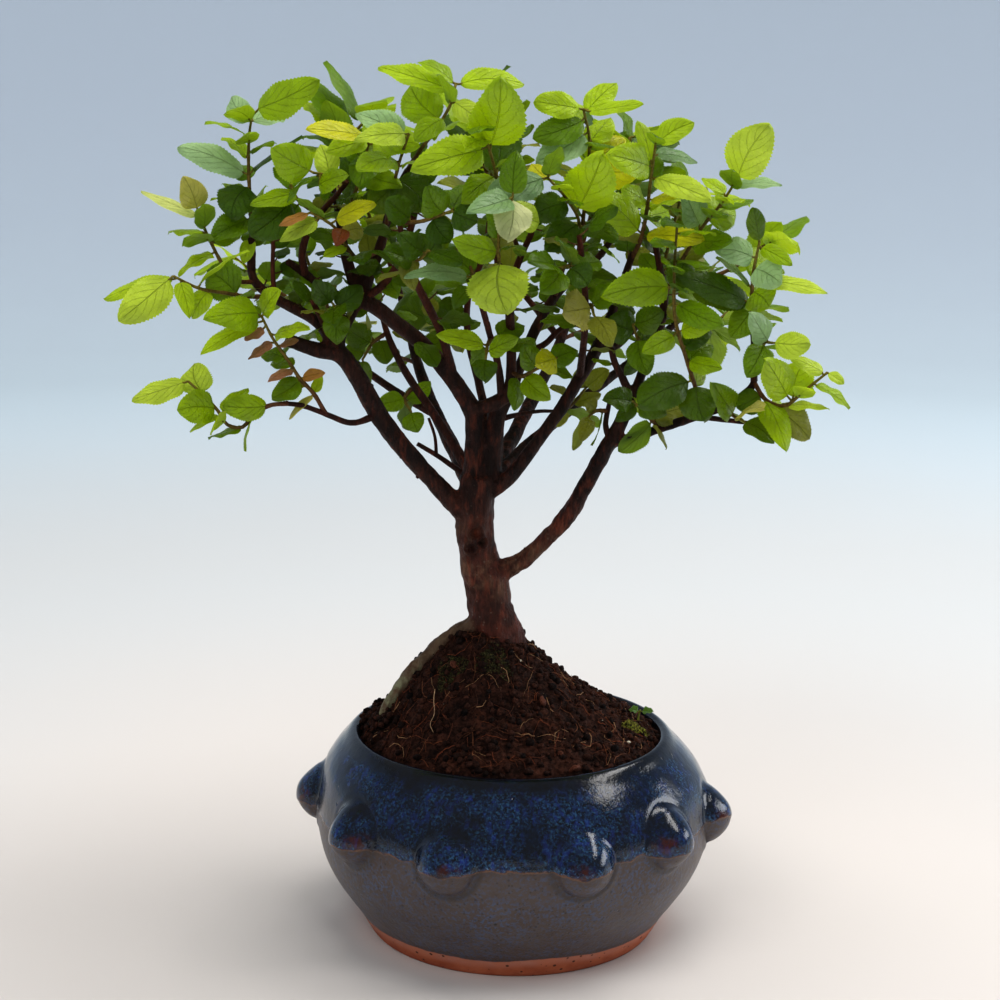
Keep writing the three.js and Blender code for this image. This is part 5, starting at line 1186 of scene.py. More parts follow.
@dataclass
class Crown:
    """Every shoot of the tree, read from the front or grown by rule, with its leaves kept clear of each other."""

    shoots: tuple[Shoot, ...]
    leaf_skin: Finish
    mature_skin: Finish
    stem_skin: Finish
    stem_radius: float = 0.62
    stem_steps: int = 24
    stem_sides: int = 7
    clash: float = 3.1
    swings: Row = (0, -4, 4, -8, 8, -12, 12)
    first_leaf: float = 0.22
    leaf_turn: float = 0.382
    shoot_turn: float = 0.618
    attempts: int = 6
    leaf_shape: float = 0.62
    fill_count: int = 16
    fill_size: float = 12.5
    centre: Row = (-8, 0, 190)
    shade_centre: Row = (-4, 10, 200)
    shade_extent: Row = (94, 76, 60)
    # Painted shade: leaves inside the shade ellipse take the darker inner tones, which also stand for older leaves
    fresh: tuple[Tone, ...] = (BRIGHT, LIME, MID, BRIGHT, MID, MID)
    inner: tuple[Tone, ...] = (DARK, MID, MID, DARK, OLIVE, DARK)
    press: LeafPress = field(default_factory=LeafPress)
    taken: Clearance = field(default_factory=Clearance)
    old_stem: Colour = linear(92, 52, 36)
    new_stem: Colour = linear(118, 106, 40)
    up: Points = field(default_factory=lambda: unit(np.array((0.0, 0.1, 1.0))))
    viewer: Points = field(default_factory=lambda: unit(np.array((0.0, -1.0, 0.15))))

    def placed(self, shoot: Shoot, stem: Points) -> list[Blade]:
        """Returns the leaves read from the front, each swung in depth until it is clear."""
        blades = []
        for base_x, base_z, tip_x, tip_z, lean, width, squareness, tone in shoot.leaves:
            gaps = [np.linalg.norm(seen((base_x, base_z, point[1])) - point) for point in stem]
            depth = stem[int(np.argmin(gaps))][1]
            base = seen((base_x, base_z, depth))
            facing = self.up * (1 - squareness) + self.viewer * squareness
            for swing in self.swings:
                tip = seen((tip_x, tip_z, depth + lean + swing))
                blade = blade_between(base, tip, facing, width, tone.value)
                if self.taken.take(blade, self.clash):
                    blades.append(blade)
                    break
        return blades

    def grown(self, shoot: Shoot, stem: Points) -> list[Blade]:
        """Returns the leaves grown by rule, round the stem by the golden angle."""
        blades = []
        for index in range(shoot.count):
            along = self.first_leaf + (1 - self.first_leaf) * index / (shoot.count - 1)
            place = min(len(stem) - 2, math.floor(along * (len(stem) - 1)))
            base = stem[math.floor(along * (len(stem) - 1) + 0.5)]
            tangent = unit(stem[place + 1] - stem[place])
            outward = unit(base - np.array(self.centre))
            sideways = unit(np.cross(tangent, self.up))
            upwards = np.cross(sideways, tangent)
            for attempt in range(self.attempts):
                seed = shoot.turn * 97 + index * 7 + attempt * 3
                angle = 2 * math.pi * (shoot.turn + index * self.leaf_turn + attempt * 0.17)
                axis = (tangent * 0.5 + sideways * math.cos(angle) * 0.9 + upwards * math.sin(angle) * 0.6
                        + outward * 0.5)
                axis[2] -= 0.35 + 0.3 * chance(seed)
                length = shoot.size * (0.8 + 0.35 * chance(seed + 1))
                facing = self.up * 0.8 + outward * (0.4 + 0.5 * chance(seed + 2))
                blade = blade_between(base, base + unit(axis) * length, facing, length * self.leaf_shape,
                                      self.grown_tone(base, seed))
                if self.taken.take(blade, self.clash):
                    blades.append(blade)
                    break
        return blades

    def grown_tone(self, base: Points, seed: float) -> Colour:
        """Returns a leaf's colour: fresh green on the outside of the crown, and dark green inside it, which is partly
        older leaves and partly painted shade.
        """
        reach = np.linalg.norm((base - np.array(self.shade_centre)) / np.array(self.shade_extent))
        tones = self.fresh if reach + 0.3 * chance(seed + 4) > 1 else self.inner
        return tones[int(chance(seed + 5) * len(tones))].value

    def build(self) -> list[Piece]:
        """Returns one piece for each shoot, which replaces its node."""
        stems = [Spline(seen_line(shoot.stem)).spaced(self.stem_steps) for shoot in self.shoots]
        grown = [self.placed(shoot, stem) for shoot, stem in zip(self.shoots, stems)]
        for index, (shoot, stem, blades) in enumerate(zip(self.shoots, stems, grown)):
            if shoot.leaves:
                shoot = Shoot(shoot.stem, (), self.fill_count, self.fill_size, index * self.shoot_turn)
            blades += self.grown(shoot, stem)
        pieces = []
        for number, (shoot, stem, blades) in enumerate(zip(self.shoots, stems, grown), start=1):
            name = f"shoot_{number:02d}"
            sculpt = Sculpt()
            self.add_stem(sculpt, stem, number)
            for index, blade in enumerate(blades):
                self.press.press(sculpt, blade, number * 31 + index * 1.7)
                self.press.hang(sculpt, blade, stem, self.new_stem)
            young = bool(shoot.leaves)
            piece = sculpt.build(name + "_leaves", self.leaf_skin if young else self.mature_skin, self.stem_skin)
            settle(piece, name)
            pieces.append(piece)
        return pieces

    def add_stem(self, sculpt: Sculpt, stem: Points, number: int) -> None:
        """Adds a shoot's stem, thicker and browner at its base."""
        radii = self.stem_radius * np.linspace(1.2, 0.6, len(stem))
        radii[::4] *= 1.14
        points, faces = tube(stem, radii, self.stem_sides, 0.05, number)
        share = np.linspace(0, 1, len(stem)).repeat(self.stem_sides)[:, None]
        tone = np.hstack((np.array(self.old_stem) * (1 - share) + np.array(self.new_stem) * share,
                          np.full((len(share), 1), 0.5)))
        sculpt.add(points, faces, tone, slot=1)


@dataclass
class InnerFoliage:
    """The small dark leaves that fill the crown's shade, on short stalks along the twigs; their dark tones also paint
    that shade.
    """

    skin: Finish
    stalk_skin: Finish
    taken: Clearance
    lowest: float = 182
    full_height: float = 205
    step: float = 3.3
    size: float = 9.5
    gap: float = 2.0
    attempts: int = 5
    # Dark greens that are partly leaf colour and partly painted shade
    tones: tuple[Tone, ...] = (DARK, DARK, MID, MID, DEEP, OLIVE)
    press: LeafPress = field(default_factory=lambda: LeafPress(rows=15, columns=5, tooth=0.05, stalk_radius=0.26))

    def build(self, branches: Sequence[Sequence[Row]]) -> Piece:
        """Returns the piece with the leaves of all branches.

        Args:
            branches: the rows of the branches that carry them.
        """
        sculpt = Sculpt()
        draw = random.Random(41)
        for rows in branches:
            points = seen_line(rows)
            line = Spline(points).spaced(max(2, round(line_length(points) / self.step)))
            for base in line:
                share = (base[2] - self.lowest) / (self.full_height - self.lowest)
                if draw.random() < share:
                    self.leaf(sculpt, line, base, draw)
        piece = sculpt.build("inner_foliage", self.skin, self.stalk_skin)
        settle(piece)
        return piece

    def leaf(self, sculpt: Sculpt, line: Points, base: Points, draw: random.Random) -> None:
        """Adds one leaf at a point of a branch if a place is free for it."""
        tone = self.tones[draw.randrange(len(self.tones))].value
        for _ in range(self.attempts):
            reach = unit(np.array([draw.gauss(0, 1), draw.gauss(0.7, 0.8), draw.gauss(0, 0.5) + 0.25]))
            length = self.size * draw.uniform(0.75, 1.3)
            start = base + reach * draw.uniform(1.0, 4.5)
            facing = np.array((draw.uniform(-0.5, 0.5), draw.uniform(-0.9, 0.3), 1.0))
            blade = blade_between(start, start + reach * length, facing, length * draw.uniform(0.58, 0.74), tone)
            if self.taken.take(blade, self.gap):
                self.press.press(sculpt, blade, draw.uniform(0, 900))
                self.press.hang(sculpt, blade, line, linear(96, 70, 40))
                return


def shaped_mesh(piece: Piece) -> bpy.types.Mesh:
    """Returns a piece's mesh with its modifiers applied."""
    return bpy.data.meshes.new_from_object(piece.evaluated_get(bpy.context.evaluated_depsgraph_get()))


def settle(piece: Piece, *nodes: str) -> None:
    """Makes a piece ride on the one body, stand for its nodes and be reported."""
    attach(piece, "root")
    if nodes:
        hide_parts(*nodes)
    LOG.info("%s: %d faces, replaces %s", piece.name, len(piece.data.polygons), ", ".join(nodes) or "nothing")


@dataclass
class Wood:
    """The trunk, its limbs, twigs and roots, which grew as one piece."""

    skin: Finish
    voxel: float = 0.62
    bud_gap: float = 9
    scar_rim: float = 1.1
    scar_depth: float = 1.3
    scars: tuple[Row, ...] = ((-11.4, 130, -6.2, 1.9, 0.6), (-12.7, 125, -5.6, 1.5, 0), (-9.5, 127, -6, 1.6, 0))

    def branch(self, rows: Sequence[Row], sides: int, step: float = 1.6) -> tuple[Points, Faces]:
        """Returns a branch as a tube along its rows of x, height, depth and radius."""
        points = seen_line(rows)
        steps = max(6, round(line_length(points) / step))
        share = np.linspace(0, 1, steps + 1)
        radii = np.interp(share, np.linspace(0, 1, len(rows)), [row[3] for row in rows])
        return tube(Spline(points).at(share), radii, sides, 0.05, len(rows) * 7 + steps)

    def core(self) -> Piece:
        """Returns the thick growth, joined into one skin."""
        sculpt = Sculpt()
        for rows in (TRUNK, EXPOSED_ROOT, *LIMBS, *BURIED_ROOTS):
            sculpt.add(*self.branch(rows, 20))
        for rows in TWIGS:
            thick = [row for row in rows if row[3] >= 1.2]
            if len(thick) > 1:
                sculpt.add(*self.branch(thick, 14))
        core = sculpt.build("wood_core")
        remesh = core.modifiers.new("joined", "REMESH")
        remesh.mode = "VOXEL"
        remesh.voxel_size = self.voxel * MM
        smooth = core.modifiers.new("softened", "SMOOTH")
        smooth.iterations = 4
        smooth.factor = 0.5
        return core

    def carved(self, points: Points, normals: Points) -> Points:
        """Returns the skin's points with bark ridges, lumps and scars.

        Args:
            points: the smooth skin, in millimetres.
            normals: its directions outwards.
        """
        thick = smoothstep(points[:, 2], 175, 120)
        lumps = rough(points, 7, 3, (1, 1, 1.7)) * (0.12 + 0.62 * thick)
        ridges = np.abs(rough(points, 2.6, 2, (1, 1, 2.6), 5)) * (0.1 + 0.24 * thick)
        lift = lumps - ridges
        for x, height, depth, size, _ in self.scars:
            gap = np.linalg.norm(points - np.array((x, depth, height)), axis=1) / size
            lift += self.scar_rim * bell(gap, 1.15, 0.4) - self.scar_depth * bell(gap, 0, 0.75)
        return points + normals * lift[:, None]

    def build(self) -> Piece:
        """Returns the wood's piece, which replaces its node."""
        core = self.core()
        mesh = shaped_mesh(core)
        bpy.data.objects.remove(core)
        flat = np.zeros(len(mesh.vertices) * 3)
        mesh.vertices.foreach_get("co", flat)
        points = flat.reshape(-1, 3) / MM
        mesh.vertex_normals.foreach_get("vector", flat)
        normals = flat.reshape(-1, 3).copy()
        sculpt = Sculpt()
        sculpt.add(self.carved(points, normals), [list(face.vertices) for face in mesh.polygons], self.tones(points))
        for rows in TWIGS:
            twig, faces = self.branch(rows, 9, 1.2)
            tone = np.zeros((len(twig), 4))
            tone[:, 1] = 0.12 + 0.45 * smoothstep(twig[:, 2], 170, 215)
            sculpt.add(twig, faces, tone)
        for rows in LIMBS:
            thin = [row for row in rows if row[3] < 1.45]
            if len(thin) > 1:
                twig, faces = self.branch(thin, 10, 1.2)
                sculpt.add(twig, faces, (0, 0.15, 0, 0))
        draw = random.Random(67)
        for rows in LIMBS:
            self.add_buds(sculpt, rows, draw)
        piece = sculpt.build("bonsai_wood", self.skin)
        settle(piece, "tree_wood")
        return piece

    def tones(self, points: Points) -> Points:
        """Returns the shares of exposed root, new growth, knot and scar for each point of the skin."""
        root_line = Spline(seen_line(EXPOSED_ROOT)).spaced(40)
        gap = np.min(np.linalg.norm(points[:, None] - root_line[None, 3:], axis=2), axis=1)
        tone = np.zeros((len(points), 4))
        tone[:, 0] = smoothstep(gap, 4.2, 2.6)
        tone[:, 1] = 0.2 * smoothstep(points[:, 2], 160, 230)
        for x, height, depth, size, knot in self.scars:
            gap = np.linalg.norm(points - np.array((x, depth, height)), axis=1) / size
            tone[:, 2] = np.maximum(tone[:, 2], knot * bell(gap, 0, 0.5))
            tone[:, 3] = np.maximum(tone[:, 3], 0.7 * bell(gap, 0, 1.5))
        return tone

    def add_buds(self, sculpt: Sculpt, rows: Sequence[Row], draw: random.Random) -> None:
        """Adds the small dormant buds that stand on a limb."""
        points = seen_line(rows)
        line = Spline(points)
        ball, faces = rounded_lump(1)
        for _ in range(round(line_length(points) / self.bud_gap)):
            share = draw.uniform(0.08, 0.95)
            radius = float(np.interp(share, np.linspace(0, 1, len(rows)), [row[3] for row in rows]))
            side = unit(np.array([draw.gauss(0, 1) for _ in range(3)]))
            centre = line.at(np.array([share]))[0] + side * radius * 0.94
            shape = ball * draw.uniform(0.3, 0.3 + 0.16 * min(radius, 3)) * np.array((1.0, 1.0, 1.3))
            sculpt.add(shape + centre, faces, (0, 0.2, 0, 0.4))


@dataclass
class Pot:
    """The round pot with an incurved lip, a ring of studs, a bare foot and two drain holes."""

    skin: Finish
    outline: tuple[Row, ...] = (
        (44.6, 0), (45.7, 0.25), (46.3, 1.2), (47.4, 3), (50.3, 8), (54.2, 13.5), (58.1, 19.5), (61, 26), (62.5, 33),
        (62.8, 39), (62.4, 44), (61.2, 49), (59.2, 54), (56.2, 58.4), (53.3, 61.6), (51.5, 63.7), (50.2, 64.75),
        (49.2, 65), (48.3, 64.6), (47.7, 63.4), (47.6, 61.8),
    )
    hollow: tuple[Row, ...] = (
        (48.8, 59), (52.9, 53.5), (56.2, 48), (57.6, 40), (54.6, 22.5), (49, 13.5), (41, 7), (38, 6),
    )
    studs: tuple[Row, ...] = (
        (-90, 43, 5), (-51, 43, 6), (-18.5, 41.3, 2.5), (19.5, 41.3, -2.5), (49.5, 43.5, -6), (81, 40.5, -5),
        (119, 41.5, 0), (157, 41, 0), (195, 41.5, 0), (232, 42.5, 0),
    )
    stud_radius: float = 9.0
    stud_rise: float = 7.2
    stud_flank: float = 7.8
    ridge_height: float = 0.25
    ridge_radius: float = 11.0
    crease_depth: float = 0.4
    crease_radius: float = 10.6
    crease_shade_radius: float = 10.4
    belly_radius: float = 62.8
    lean: float = 1.5
    glaze_height: float = 40.6
    glaze_thickness: float = 0.16
    columns: int = 480
    rows: int = 112
    foot_steps: Row = (14, 28, 42)
    floor_height: float = 6
    drain_offset: float = 17
    drain_radius: float = 5

    def turns(self) -> Points:
        """Returns the directions of the grid round the pot, closer together over the studs."""
        fine = np.linspace(0, 360, 7201)
        off = np.min(np.abs((fine[:, None] - [stud[0] for stud in self.studs] + 180) % 360 - 180), axis=1)
        reach = np.concatenate(([0], np.cumsum(np.where(off < 12, 1.35, 0.75)[1:])))
        return np.radians(np.interp(np.linspace(0, reach[-1], self.columns, endpoint=False), reach, fine) - 90)

    def profile(self) -> Points:
        """Returns the outside as radius and height, closer together over the studs."""
        line = outline_curve(self.outline).spaced(1200)
        steps = np.linalg.norm(np.diff(line, axis=0), axis=1)
        middle = (line[1:, 1] + line[:-1, 1]) / 2
        weight = np.where((middle > 27) & (middle < 56), 1.6, 0.8)
        reach = np.concatenate(([0], np.cumsum(steps * weight)))
        wanted = np.linspace(0, reach[-1], self.rows)
        return np.stack([np.interp(wanted, reach, line[:, axis]) for axis in (0, 1)], axis=1)

    def stud_gap(self, height: Points, turns: Points) -> tuple[Points, Points, Points]:
        """Returns the distance to the nearest stud, and how far above it and beside its rusty mark a point is."""
        best = None
        for turn, level, mark in self.studs:
            angle = (turns - math.radians(turn - 90) + math.pi) % (2 * math.pi) - math.pi
            aside = np.where(np.abs(angle) < 1, self.belly_radius * np.sin(angle), 99.0) + 0 * height
            above = height - level + 0 * aside
            distance = np.hypot(aside, above)
            if best is None:
                best = (distance, above, aside - mark)
            else:
                closer = distance < best[0]
                best = tuple(np.where(closer, new, old) for new, old in zip((distance, above, aside - mark), best))
        return best

    def glaze_line(self, turns: Points) -> Points:
        """Returns the height at which the thick glaze ends, which wanders."""
        circle = np.stack((np.cos(turns), np.sin(turns), np.zeros(len(turns))), axis=1) * self.belly_radius
        return self.glaze_height + 1.5 * rough(circle, 15, 2, offset=3) + 0.8 * rough(circle, 4, 2, offset=8)

    def raised(self, radius: Points, height: Points, turns: Points) -> Points:
        """Returns the radius with the studs, the crease round each of them and the roll at the glaze's end.

        Args:
            radius: the turned body's radius.
            height: the height of each point.
            turns: the direction of each point.
        """
        distance, over, _ = self.stud_gap(height, turns)
        under = smoothstep(2 - over, 0, 5)
        ball = np.sqrt(np.clip(1 - (distance / self.stud_radius) ** 2, 0, None))
        hump = np.exp(-(distance / self.stud_flank) ** 2.4)
        share = 0.3 + 0.35 * under
        stud = self.stud_rise * (ball * share + hump * (1 - share))
        ridge = self.ridge_height * under * bell(distance, self.ridge_radius, 0.9)
        crease = self.crease_depth * (1 - under) * bell(distance, self.crease_radius, 1.0)
        above = height - self.glaze_line(turns)
        roll = 0.26 * bell(above, 0.3, 0.7) + self.glaze_thickness * smoothstep(above, 0, 1.5)
        return radius + stud + ridge - crease + roll * smoothstep(height, 60, 50)

    def build(self) -> Piece:
        """Returns the pot's piece, which replaces its node."""
        turns = self.turns()
        outside = self.profile()
        inner = outline_curve(self.hollow).spaced(22)[:, :2]
        bottom = [(step, 0) for step in self.foot_steps]
        floor = [(step, self.floor_height) for step in reversed(self.foot_steps[:2])]
        rows = np.vstack((bottom, outside, inner, floor))
        first = len(bottom)
        last = first + len(outside)
        radius = np.repeat(rows[:, :1], len(turns), axis=1)
        height = np.repeat(rows[:, 1:], len(turns), axis=1)
        radius[first:last] = self.raised(radius[first:last], height[first:last], turns)
        wobble = 0.12 * np.sin(turns * 3 + 1) + 0.1 * np.sin(turns * 5 + 2.2)
        radius[first:last] += wobble * smoothstep(height[first:last], 0, 12)
        shift = np.zeros(radius.shape)
        shift[:last] = self.lean * smoothstep(height[:last], 63, 46)
        sculpt = Sculpt()
        sculpt.add(turned(shift, radius, height, turns), closed_faces(len(rows), len(turns)),
                   self.tones(height, turns))
        piece = sculpt.build("studded_pot", self.skin)
        self.drill(piece)
        settle(piece, "pot")
        return piece

    def tones(self, height: Points, turns: Points) -> Points:
        """Returns glaze line, stud tip, lip and the painted shade of each stud's crease for each point of the grid of
        heights and turns.
        """
        distance, over, aside = self.stud_gap(height, turns)
        tone = np.zeros((*height.shape, 4))
        tone[..., 0] = np.clip(0.5 + (height - self.glaze_line(turns)) / 8, 0, 1)
        tone[..., 1] = smoothstep(np.hypot(over - 0.4, aside * 0.8), 3.6, 1.2)
        tone[..., 2] = smoothstep(height, 59.6, 63.4)
        # Painted shade: a dark ring in the crease round each stud, darkest at this radius
        tone[..., 3] = 0.9 * bell(distance, self.crease_shade_radius, 1.0)
        return tone.reshape(-1, 4)

    def drill(self, piece: Piece) -> None:
        """Cuts the two drain holes through the floor."""
        sculpt = Sculpt()
        for side in (-1, 1):
            line = np.array([(side * self.drain_offset, 0.01, height) for height in (-3.0, 3.0, 9.0)])
            points, faces = tube(line, np.full(3, float(self.drain_radius)), 32)
            sculpt.add(points, faces)
        cutter = sculpt.build("drill")
        cut = piece.modifiers.new("drain", "BOOLEAN")
        cut.object = cutter
        cut.operation = "DIFFERENCE"
        drilled = shaped_mesh(piece)
        piece.modifiers.clear()
        piece.data = drilled
        bpy.data.objects.remove(cutter)


class Ground:
    """Finds points on a piece, from above or along a line of sight."""

    ABOVE = 140.0

    def __init__(self, piece: Piece) -> None:
        """Reads the piece's surface."""
        mesh = piece.data
        self.tree = BVHTree.FromPolygons([vertex.co for vertex in mesh.vertices],
                                         [face.vertices for face in mesh.polygons])

    def hit(self, start: Points, direction: Points) -> tuple[Points, Points] | None:
        """Returns the point and the normal that a ray meets first, in millimetres, or nothing."""
        point, normal, _, _ = self.tree.ray_cast(Vector(start * MM), Vector(direction))
        return None if point is None else (np.array(point) / MM, np.array(normal))

    def under(self, x: float, y: float) -> tuple[Points, Points] | None:
        """Returns the point and normal under a place."""
        return self.hit(np.array((x, y, self.ABOVE)), np.array((0.0, 0.0, -1.0)))

    def behind_pixel(self, across: float, down: float) -> tuple[Points, Points] | None:
        """Returns the point and normal behind a pixel of the photograph."""
        scale = FOCAL_LENGTH / SENSOR_WIDTH * 1000
        pitch, roll = math.radians(EYE_PITCH), math.radians(EYE_ROLL)
        right, up = (across - 500) / scale, (500 - down) / scale
        level = right * math.cos(roll) - up * math.sin(roll)
        raised = right * math.sin(roll) + up * math.cos(roll)
        direction = np.array((level, math.cos(pitch) + raised * math.sin(pitch),
                              -math.sin(pitch) + raised * math.cos(pitch)))
        return self.hit(EYE, unit(direction))

    def marks(self, pixels: Iterable[Row]) -> Iterator[tuple[Row, Points, Points]]:
        """Yields each row of a pixel's place whose line of sight meets the piece, with the point and normal there."""
        for row in pixels:
            found = self.behind_pixel(*row[:2])
            if found is not None:
                yield row, *found


@dataclass
class Soil:
    """The crumbly mound that fills the pot, with loose crumbs and litter on it."""

    skin: Finish
    crumb_skin: Finish
    mound: tuple[Row, ...] = (
        (47.1, 62.4), (45.4, 64.6), (42, 67), (37, 70.6), (31.5, 75.5), (26, 80.5), (15.5, 91), (9, 96.5), (0.5, 99),
    )
    inside: tuple[Row, ...] = ((41.3, 7.6), (48.4, 13.5), (54, 22.5), (57, 40), (55.6, 48), (48.8, 57.6))
    rim_height: float = 61.5
    shoulder_height: float = 84.75
    apex_x: float = -8.3
    sides: int = 300
    rows: int = 130
    dark: Colour = linear(18, 10, 8)
    brown: Colour = linear(62, 35, 25)
    tan: Colour = linear(88, 52, 36)
    heap_pixel: Row = (377, 717)
    heap_spread: float = 6
    heap_count: int = 260
    reach: float = 47.2

    def build(self) -> Piece:
        """Returns the mound's piece, which replaces its node."""
        profile = np.vstack((self.inside, outline_curve(self.mound).spaced(self.rows)[:, :2]))
        turns = np.linspace(0, 2 * math.pi, self.sides, endpoint=False)
        radius = profile[:, :1] * np.ones((1, self.sides))
        height = profile[:, 1:] * np.ones((1, self.sides))
        shift = self.apex_x * smoothstep(height, self.rim_height, self.shoulder_height)
        points = turned(shift, radius, height, turns)
        free = smoothstep(points[:, 2], 60.5, 64)
        lumps = rough(points, 9, 2) * 0.9 + rough(points, 3.2, 3, offset=2) * 0.85
        grains = np.abs(rough(points, 1.5, 2, offset=7)) * 0.9
        points[:, 2] += (lumps + grains) * free
        points[:, :2] *= 1 + (0.006 * rough(points, 5, 2, offset=4) * free)[:, None]
        faces = closed_faces(len(profile), self.sides)
        # The tone is mottled at random and darker in the dips between the lumps, which paints shade in the dips
        shade = np.clip(0.5 + 0.5 * rough(points, 6, 3, offset=9) + 0.3 * (lumps + grains), 0, 1)[:, None]
        colour = np.array(self.dark) * (1 - shade) + np.array(self.brown) * shade
        sculpt = Sculpt()
        sculpt.add(points, faces, np.hstack((colour, np.ones((len(points), 1)))))
        piece = sculpt.build("soil_surface", self.skin)
        settle(piece, "soil_mound")
        return piece

    def crumbs(self, ground: Ground, count: int = 4200) -> Piece:
        """Returns loose crumbs that lie on the mound, most of them very small.

        Args:
            ground: the mound's surface.
            count: how many there are.
        """
        sculpt = Sculpt()
        draw = random.Random(11)
        coarse, fine = rounded_lump(2), rounded_lump(1)
        placed = 0
        while placed < count:
            turn, reach = draw.uniform(0, 2 * math.pi), self.reach * math.sqrt(draw.random())
            found = ground.under(reach * math.cos(turn), reach * math.sin(turn))
            if found is None or found[0][2] < SOIL_EDGE:
                continue
            size = 0.22 + 1.1 * draw.random() ** 4.5
            base = self.tan if size < 0.6 and draw.random() < 0.1 else self.brown
            ball = coarse if size > 0.7 else fine
            add_lump(sculpt, ball, found[0] + found[1] * size * 0.3, size, self.blend(base, draw), draw, 0.9)
            placed += 1
        heap = ([draw.gauss(middle, self.heap_spread) for middle in self.heap_pixel] for _ in range(self.heap_count))
        for _, place, normal in ground.marks(heap):
            centre = place + normal * draw.uniform(0.2, 2.6)
            add_lump(sculpt, coarse, centre, draw.uniform(0.5, 1.2), self.blend(self.brown, draw), draw, 0.9)
        piece = sculpt.build("soil_crumbs", self.crumb_skin)
        settle(piece)
        return piece

    def blend(self, base: Colour, draw: random.Random) -> Colour:
        """Returns a tone between the dark soil and a colour."""
        share = draw.random()
        return tuple(low + (high - low) * share for low, high in zip(self.dark, base))


def rounded_lump(detail: int = 2) -> tuple[Points, Faces]:
    """Returns the points and faces of a ball of radius one."""
    form = bmesh.new()
    bmesh.ops.create_icosphere(form, subdivisions=detail, radius=1)
    points = np.array([vertex.co[:] for vertex in form.verts])
    faces = [[vertex.index for vertex in face.verts] for face in form.faces]
    form.free()
    return points, faces


def add_lump(sculpt: Sculpt, ball: tuple[Points, Faces], centre: Points, size: float, tone: Colour,
             draw: random.Random, flat: float = 0.75) -> None:
    """Adds an uneven lump.

    Args:
        sculpt: what it is added to.
        ball: the ball that it is made from.
        centre: its middle.
        size: its radius in millimetres.
        tone: its colour.
        draw: the source of its shape.
        flat: how high it is for its width.
    """
    points, faces = ball
    offset = draw.uniform(0, 90)
    swell = 1 + 0.38 * np.array([noise.noise(Vector(point) * 1.6 + Vector((offset, 0, 0))) for point in points])
    spin = Matrix.Rotation(draw.uniform(0, 6.3), 3, Vector((draw.random(), draw.random(), draw.random() + 0.1)))
    shape = points * swell[:, None] * np.array((draw.uniform(0.8, 1.3), draw.uniform(0.7, 1.1), flat))
    sculpt.add(shape @ np.array(spin).T * size + centre, faces, (*tone, draw.random()))


@dataclass
class Litter:
    """What lies on the soil: fibres, pale root hairs, grit and chips of bark."""

    skin: Finish
    tones: tuple[Colour, ...] = (
        linear(112, 70, 48), linear(86, 48, 34), linear(146, 112, 82), linear(64, 38, 28), linear(116, 62, 40),
        linear(74, 44, 30), linear(98, 54, 34),
    )
    reach: float = 46
    white: Colour = linear(214, 204, 182)
    hair: Colour = linear(168, 138, 108)
    chip_pixels: tuple[Row, ...] = ((542, 702), (560, 754), (575, 770), (455, 665))
    grit_pixels: tuple[Row, ...] = (
        (628, 743, 0.75), (445, 704, 0.35), (520, 661, 0.4), (395, 719, 0.4), (602, 721, 0.3),
    )
    hair_pixels: tuple[Row, ...] = ((437, 690), (434, 702), (436, 714), (432, 725), (434, 735))

    def fibre(self, sculpt: Sculpt, ground: Ground, draw: random.Random, tone: Colour) -> None:
        """Adds one fibre that lies over the mound."""
        turn, reach = draw.uniform(0, 2 * math.pi), self.reach * math.sqrt(draw.random())
        x, y, heading = reach * math.cos(turn), reach * math.sin(turn), draw.uniform(0, 6.3)
        bend, step = draw.uniform(-0.35, 0.35), draw.uniform(0.5, 1.7)
        line = []
        for index in range(7):
            found = ground.under(x, y)
            if found is None or found[0][2] < SOIL_EDGE:
                return
            lift = 0.25 + 0.5 * draw.random() * math.sin(math.pi * index / 6)
            line.append(found[0] + found[1] * lift)
            heading += bend
            x, y = x + step * math.cos(heading), y + step * math.sin(heading)
        radius = draw.uniform(0.07, 0.17)
        points, faces = tube(np.array(line), np.linspace(radius, radius * 0.5, 7), 5, 0.1, draw.randrange(999))
        sculpt.add(points, faces, (*tone, 1))

    def build(self, ground: Ground, count: int = 560) -> Piece:
        """Returns the litter's piece.

        Args:
            ground: the mound's surface.
            count: how many fibres there are.
        """
        sculpt = Sculpt()
        draw = random.Random(23)
        for _ in range(count):
            self.fibre(sculpt, ground, draw, self.tones[draw.randrange(len(self.tones))])
        ball = rounded_lump()
        for _, place, normal in ground.marks(self.chip_pixels):
            add_lump(sculpt, ball, place + normal * 0.5, draw.uniform(1.3, 2.1), self.tones[1], draw, 0.45)
        for (_, _, size), place, normal in ground.marks(self.grit_pixels):
            add_lump(sculpt, ball, place + normal * size * 0.5, size, self.white, draw)
        line = Spline([place + normal * 1.1 for _, place, normal in ground.marks(self.hair_pixels)]).spaced(24)
        sculpt.add(*tube(line, np.linspace(0.15, 0.08, 25), 6), (*self.hair, 1))
        piece = sculpt.build("soil_litter", self.skin)
        settle(piece)
        return piece


